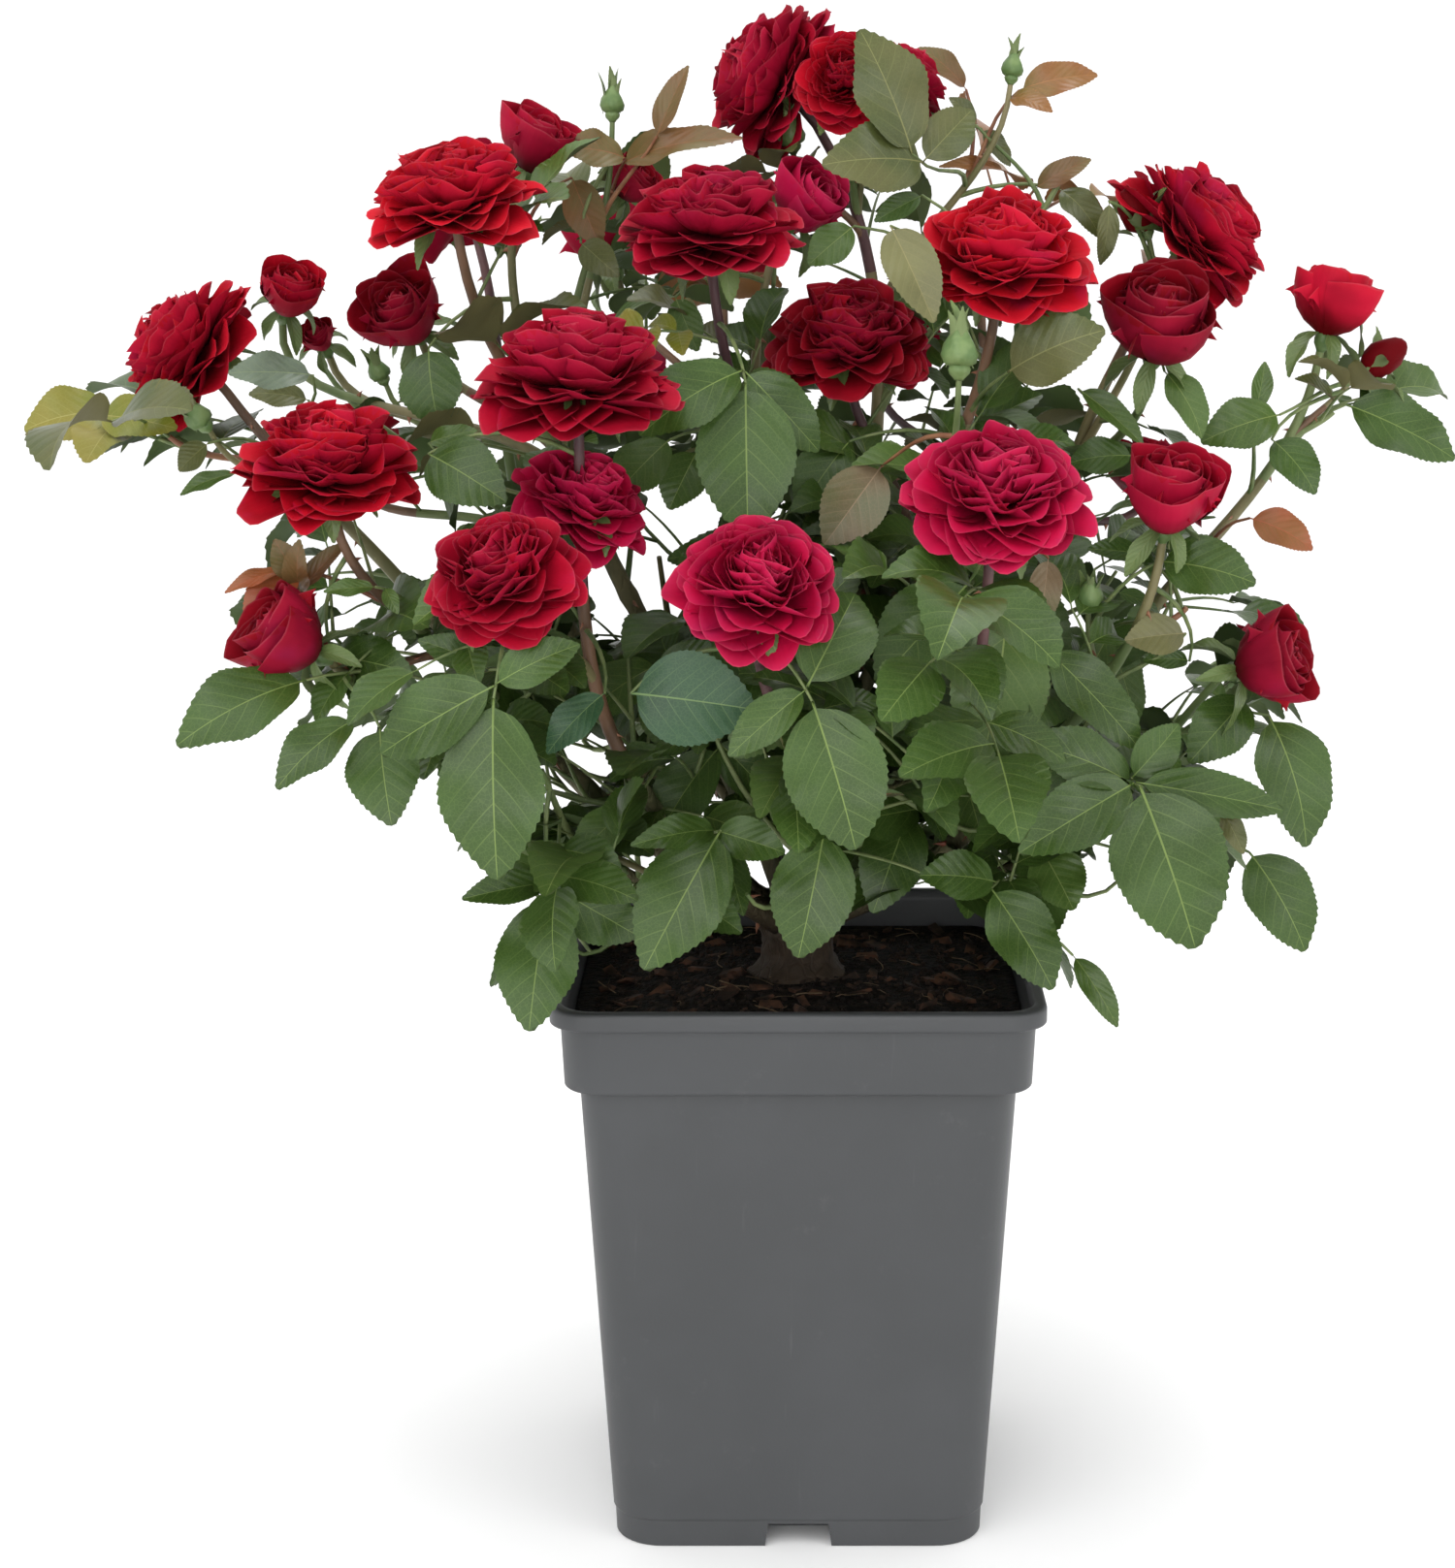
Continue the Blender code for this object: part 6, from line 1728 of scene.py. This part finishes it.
def make_stock(bark):
    """Knobbly stock: flared foot and graft knuckle."""
    bm = bmesh.new()
    rings = []
    levels = 22
    sides = 36
    low = SOIL_TOP_Z + GAP
    top = STOCK_CENTRE_Z + STOCK_RADIUS
    for i in range(levels + 1):
        z = lerp(low, top - 0.0004, i / levels)
        over = max(0.0, (z - STOCK_CENTRE_Z) / STOCK_RADIUS)
        radius = STOCK_RADIUS * math.sqrt(max(0.004, 1 - over * over))
        if z < STOCK_CENTRE_Z:
            sink = (STOCK_CENTRE_Z - z) / (STOCK_CENTRE_Z - low)
            radius = lerp(STOCK_RADIUS * 0.98, STOCK_FLARE, sink ** 3) - 0.0012 * math.sin(math.pi * sink)
        ring = []
        for a in turns(sides):
            at = Vector((math.cos(a) * radius, math.sin(a) * radius, z))
            relief = 0.10 * noise.noise(at * 130) + 0.05 * noise.noise(at * 420)
            relief += 0.04 * math.cos(5 * a + 40 * z)
            ring.append(bm.verts.new((at.x * (1 + relief), at.y * (1 + relief), z)))
        rings.append(ring)
    close_rings(bm, rings)
    return plain_object("stock", bm, bark)


# ================================================================ pot and compost
CORNER_ARC = 9               # steps round a corner of the pot
POT_SHARP_ANGLE = 32         # an edge of the pot that turns more than this stays sharp


def rounded_square(width, corner, z):
    """Corners of a square with round corners, counter-clockwise."""
    points = []
    inset = width / 2 - corner
    for quarter, (sx, sy) in enumerate(((1, 1), (-1, 1), (-1, -1), (1, -1))):
        for step in range(CORNER_ARC + 1):
            a = math.pi / 2 * (quarter + step / CORNER_ARC)
            points.append(Vector((sx * inset + corner * math.cos(a), sy * inset + corner * math.sin(a), z)))
    return points


def rounded_profile(profile, steps=4):
    """Rounds the corners of a profile of width, corner radius, height and fillet."""
    rounded = []
    for i, row in enumerate(profile):
        here = Vector(row[:3])
        fillet = row[3]
        if fillet == 0 or i in (0, len(profile) - 1):
            rounded.append(here)
            continue
        before = Vector(profile[i - 1][:3]) - here
        after = Vector(profile[i + 1][:3]) - here
        start = here + before * min(0.45, fillet / math.hypot(before.x / 2, before.z))
        end = here + after * min(0.45, fillet / math.hypot(after.x / 2, after.z))
        for k in range(steps + 1):
            s = k / steps
            rounded.append(start * (1 - s) ** 2 + here * (2 * s * (1 - s)) + end * s ** 2)
    return rounded


def make_pot(plastic):
    """Square pot: rolled lip, stepped collar, tapering body, inset foot with drainage notches."""
    lip_foot = POT_HEIGHT - LIP_HEIGHT
    step = 0.0009
    profile = [
        (FOOT_WIDTH - 0.012, FOOT_CORNER - 0.004, 0.0, 0.0),
        (FOOT_WIDTH, FOOT_CORNER, 0.0, 0.0012),
        (FOOT_WIDTH + 0.0008, FOOT_CORNER, FOOT_HEIGHT, 0.0003),
        (BODY_FOOT_WIDTH, FOOT_CORNER, FOOT_HEIGHT + step, 0.0005),
        (BODY_TOP_WIDTH, LIP_CORNER, BAND_FOOT_Z, 0.0010),
        (BAND_FOOT_WIDTH, LIP_CORNER, BAND_FOOT_Z, 0.0018),
        (BAND_TOP_WIDTH, LIP_CORNER, lip_foot, 0.0010),
        (LIP_WIDTH, LIP_CORNER, lip_foot, 0.0016),
        (LIP_WIDTH, LIP_CORNER, POT_HEIGHT, 0.0020),
        (BAND_TOP_WIDTH - 2 * WALL + 0.003, LIP_CORNER - 0.001, POT_HEIGHT, 0.0012),
        (BAND_TOP_WIDTH - 2 * WALL, LIP_CORNER - WALL, POT_HEIGHT - 0.004, 0.0010),
        (BAND_FOOT_WIDTH - 2 * WALL, LIP_CORNER - WALL, BAND_FOOT_Z + 0.004, 0.0),
        (BODY_TOP_WIDTH - 2 * WALL, LIP_CORNER - WALL, BAND_FOOT_Z, 0.0),
        (BODY_FOOT_WIDTH - 2 * WALL, FOOT_CORNER - WALL, FLOOR_TOP, 0.0),
    ]
    bm = bmesh.new()
    close_rings(bm, [[bm.verts.new(p) for p in rounded_square(*row)] for row in rounded_profile(profile)])
    pot = plain_object("pot_shell", bm, plastic)
    notches = bmesh.new()
    for a in turns(4):
        way = level(a)
        side = Vector((-way.y, way.x, 0.0))
        ring = [side * (share * NOTCH_WIDTH / 2) + Vector((0, 0, z))
                for share, z in ((-1.14, -0.002), (-1.0, 0.0), (-0.90, NOTCH_HEIGHT),
                                 (0.90, NOTCH_HEIGHT), (1.0, 0.0), (1.14, -0.002))]
        near = [notches.verts.new(p + way * (FOOT_WIDTH / 2 - NOTCH_DEPTH)) for p in ring]
        far = [notches.verts.new(p + way * (FOOT_WIDTH / 2 + 0.01)) for p in ring]
        close_rings(notches, [near, far])
    bmesh.ops.recalc_face_normals(notches, faces=notches.faces)
    cutter = plain_object("notch_cutter", notches, plastic)
    cut = pot.modifiers.new("notches", "BOOLEAN")
    cut.operation = "DIFFERENCE"
    cut.object = cutter
    work_in_modifiers(pot)
    bpy.data.objects.remove(cutter)
    pot.data.polygons.foreach_set("use_smooth", [True] * len(pot.data.polygons))
    pot.data.set_sharp_from_angle(angle=math.radians(POT_SHARP_ANGLE))
    return pot


def compost_height(x, y):
    """Level of the compost: a low mound round the stock, lumpy all over."""
    out = math.hypot(x, y)
    share = min(1.0, out / (BAND_TOP_WIDTH / 2))
    mound = lerp(SOIL_TOP_Z + 0.0012, SOIL_EDGE_Z, share ** 1.6)
    lumps = 0.0016 * noise.noise(Vector((x, y, 0.3)) * 60) + 0.0010 * noise.noise(Vector((x, y, 4.1)) * 170)
    return mound + lumps


def compost_rings(width, corner, count):
    """Rings of a lumpy surface from the edge in to the middle."""
    rings = []
    for j in range(count):
        share = 1 - j / count
        ring = rounded_square(width * share, corner * share, 0.0)
        rings.append([Vector((p.x, p.y, compost_height(p.x, p.y))) for p in ring])
    return rings


def make_compost(soil):
    """Bed of compost that fills the pot to just under its rim."""
    inset = 2 * (WALL + GAP)
    wall_share = (SOIL_EDGE_Z - BAND_FOOT_Z) / (POT_HEIGHT - LIP_HEIGHT - BAND_FOOT_Z)
    top_width = lerp(BAND_FOOT_WIDTH, BAND_TOP_WIDTH, wall_share) - inset - 0.0006
    corner = LIP_CORNER - WALL - GAP
    walls = [(BODY_FOOT_WIDTH - inset - 0.0006, FOOT_CORNER - WALL - GAP, FLOOR_TOP + GAP),
             (BODY_TOP_WIDTH - inset - 0.0006, corner, BAND_FOOT_Z),
             (BODY_TOP_WIDTH - inset + 0.001, corner, BAND_FOOT_Z + 2 * GAP),
             (BAND_FOOT_WIDTH - inset - 0.001, corner, BAND_FOOT_Z + 0.004 + 2 * GAP)]
    bm = bmesh.new()
    rings = [[bm.verts.new(p) for p in rounded_square(*wall)] for wall in walls]
    rings += [[bm.verts.new(p) for p in ring] for ring in compost_rings(top_width, corner, 44)]
    close_rings(bm, rings)
    return plain_object("compost_bed", bm, soil)


def compost_top():
    """The upper face of the compost alone, clear of the pot's wall, for things strewn on it."""
    bm = bmesh.new()
    rings = compost_rings(BAND_FOOT_WIDTH - 0.020, LIP_CORNER, 12)
    close_rings(bm, [[bm.verts.new(p) for p in ring] for ring in rings], cap_start=False)
    return mesh_from("compost_top", bm)


def strew_compost():
    """Bark chips, crumbs and pale fibres on the compost."""
    rng = random.Random(9)
    kinds = (
        ("bark_chips", [chip_shape(rng, flat) for flat in (0.16, 0.26, 0.20, 0.34)], 4200, 0.004, 0.013,
         plain_finish("bark_chip", (0.018, 0.010, 0.006), (0.100, 0.045, 0.024), 0.8)),
        ("compost_crumbs", [crumb_shape(rng) for _ in range(4)], 60000, 0.0010, 0.0034,
         plain_finish("crumb", (0.006, 0.004, 0.003), (0.034, 0.020, 0.013), 0.9)),
        ("compost_fibres", [fibre_shape(rng) for _ in range(4)], 2600, 0.006, 0.018,
         plain_finish("fibre", (0.060, 0.040, 0.022), (0.190, 0.130, 0.075), 0.8)),
    )
    pieces = []
    for seed, (name, shapes, density, smallest, largest, stuff) in enumerate(kinds):
        tree = scatter_tree(len(shapes))
        values = {"Shapes": shape_group(name + "_shapes", shapes), "Density": float(density),
                  "Smallest": smallest, "Largest": largest, "Seed": seed + 4, "Stuff": stuff}
        pieces.append(run_tree(name, compost_top(), tree, values))
    return pieces


# ================================================================ objects
def plain_object(name, bm, material):
    """Smooth mesh object from a bmesh, which is used up."""
    for face in bm.faces:
        face.smooth = True
    mesh = mesh_from(name, bm)
    mesh.materials.append(material)
    return add_object(name, mesh)


def place_piece(piece, slot, *nodes):
    """Rides the piece on the one body, in place of the CAD nodes it stands for."""
    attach(piece, "root")
    if nodes:
        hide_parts(*nodes)


# ================================================================ stage
CAMERA_PITCH = 12.88         # degrees below the level
FOCAL_PIXELS = 3321.0        # in a frame 1500 wide and 1617 high
FRAME_HEIGHT = 1617.0
SHIFT_PIXELS = -73.0
SENSOR = 36.0
LOOK_AT = Vector((0.0, 0.0, 0.34))


def set_camera():
    data = bpy.data.cameras.new("camera")
    data.sensor_width = SENSOR
    data.lens = FOCAL_PIXELS / FRAME_HEIGHT * SENSOR
    data.shift_x = SHIFT_PIXELS / FRAME_HEIGHT
    data.clip_start = 0.05
    camera = add_object("camera", data)
    camera.location = EYE
    camera.rotation_euler = Euler((math.radians(90 - CAMERA_PITCH), 0, 0))
    bpy.context.scene.camera = camera


def add_light(name, place, size, power):
    data = bpy.data.lights.new(name, "AREA")
    data.shape = "DISK"
    data.size = size
    data.energy = power
    light = add_object(name, data)
    light.location = place
    light.rotation_euler = (LOOK_AT - Vector(place)).to_track_quat("-Z", "Y").to_euler()


def make_stage():
    """Round pale floor that turns up at its rim, so that no horizon shows from any side."""
    paper = Finish("studio_floor", 0.9, specular=0.1)
    paper.colour(paper.mix(paper.noise(3.0), (0.95, 0.95, 0.95), (0.97, 0.97, 0.97)))
    bm = bmesh.new()
    profile = [(0.02, 0.0), (2.6, 0.0)]
    for a in turns(32)[1:9]:
        profile.append((2.6 + 0.9 * math.sin(a), 0.9 * (1 - math.cos(a))))
    profile.append((3.5, 1.5))
    rings = [[bm.verts.new((r * math.cos(a), r * math.sin(a), z)) for a in turns(96)] for r, z in profile]
    close_rings(bm, rings, cap_start=True, cap_end=False)
    for face in bm.faces:
        face.normal_flip()
    floor = plain_object("studio_floor", bm, paper.material)


def light_studio():
    world = bpy.data.worlds.new("studio")
    world.use_nodes = True
    world.node_tree.nodes["Background"].inputs["Color"].default_value = (1, 1, 1, 1)
    world.node_tree.nodes["Background"].inputs["Strength"].default_value = 1.0
    bpy.context.scene.world = world
    add_light("key", (-0.9, -1.5, 2.0), 2.4, 24.0)
    add_light("fill", (1.7, -1.3, 1.1), 1.4, 9.0)
    add_light("front", (-0.2, -2.0, 0.55), 1.5, 11.0)
    add_light("top", (0.1, 0.5, 2.2), 1.2, 12.0)
    bpy.context.scene.view_settings.view_transform = "Standard"


# ================================================================ assembly
CHUNK = 900                  # most leaflets in one piece


def dress_plant():
    limbs = grow_limbs()
    stalks = grow_stalks(limbs)
    space = Space(stalks)
    leaves = grow_fans(stalks, space)
    fans = list(leaves)
    leaves += grow_seeded_leaves(stalks, space)
    narrow_room(space)
    keep_in_view(space, fans)
    leaves += grow_fill(stalks, space)
    twigs, twig_leaves = grow_twigs(limbs, space)
    leaves += twig_leaves

    masses = [name for name in frame["nodes"] if name.startswith("mass_")]
    set_out = set_out_tree()
    stems = stem_tree()
    leaf_shapes = shape_group("leaflet_shapes", leaflet_shapes())
    petal_group = shape_group("petal_shapes", petal_shapes())
    bodies = shape_group("body_shapes", body_shapes())

    def lay(name, rows, shapes, finishes):
        values = {"Shapes": shapes, "Upper": finishes[0], "Rib": finishes[1], "Lower": finishes[2]}
        place_piece(run_tree(name, point_mesh(rows), set_out, values), "foliage", *masses)

    rows, petioles = deal_leaves(leaves)
    for tint in sorted(rows):
        finishes = leaf_finish(tint)
        parts = [rows[tint][i:i + CHUNK] for i in range(0, len(rows[tint]), CHUNK)]
        for number, part in enumerate(parts, 1):
            name = "leaves_" + tint if len(parts) == 1 else "leaves_%s_%d" % (tint, number)
            lay(name, part, leaf_shapes, finishes)

    petals, green, red, sepals = lay_flowers(stalks)
    for tint in sorted(petals):
        lay("petals_" + tint, petals[tint], petal_group, petal_finish(tint))
    green_rind = plain_finish("hip_green", (0.085, 0.150, 0.045), (0.150, 0.220, 0.080), 0.45)
    lay("hips_and_buds", green, bodies, (green_rind,) * 3)
    lay("red_buds", red, bodies, petal_finish("bright"))
    lay("sepals", sepals, leaf_shapes, leaf_finish("sepal"))

    chains = stalk_chains(stalks)
    chains["green"] += [(stations(t["curve"], 6), taper(t["radius"], t["tip_radius"], 6)) for t in twigs]
    for tint in sorted(chains):
        if chains[tint]:
            values = {"Sides": 8, "Bark": stem_finish(tint)}
            piece = run_tree("stalks_" + tint, chain_mesh(chains[tint]), stems, values)
            place_piece(piece, "foliage", *masses)
    for tint, name in (("green", "petioles_green"), ("red", "petioles_red")):
        rind = plain_finish("petiole_" + tint, *STEM_TINTS[tint], 0.5)
        piece = run_tree(name, chain_mesh(petioles[tint]), stems, {"Sides": 5, "Bark": rind})
        place_piece(piece, "foliage", *masses)

    prickled = [(curve, base, tip, 0.013, 0.0045) for curve, base, tip in limbs.values()]
    prickled += [(s["curve"], s["radius"], s["tip_radius"], 0.026, 0.0030) for s in stalks
                 if s["form"] != "leafy"]
    thorn = plain_finish("prickle", (0.190, 0.060, 0.035), (0.290, 0.140, 0.080), 0.45)
    prickles = run_tree("prickles", point_mesh(prickle_rows(prickled)), set_out,
                        {"Shapes": shape_group("prickle_shapes", [prickle_shape()]),
                         "Upper": thorn, "Rib": thorn, "Lower": thorn})
    place_piece(prickles, "bark")
    bark = bark_finish()
    place_piece(make_canes(limbs, bark), "bark", *limbs)
    place_piece(make_stock(bark), "bark", "stem_base")


def dress_pot():
    place_piece(make_pot(pot_finish()), "pot_plastic", "pot")
    place_piece(make_compost(compost_finish()), "compost", "compost")
    for piece in strew_compost():
        place_piece(piece, "compost")


dress_plant()
dress_pot()
make_stage()
light_studio()
set_camera()
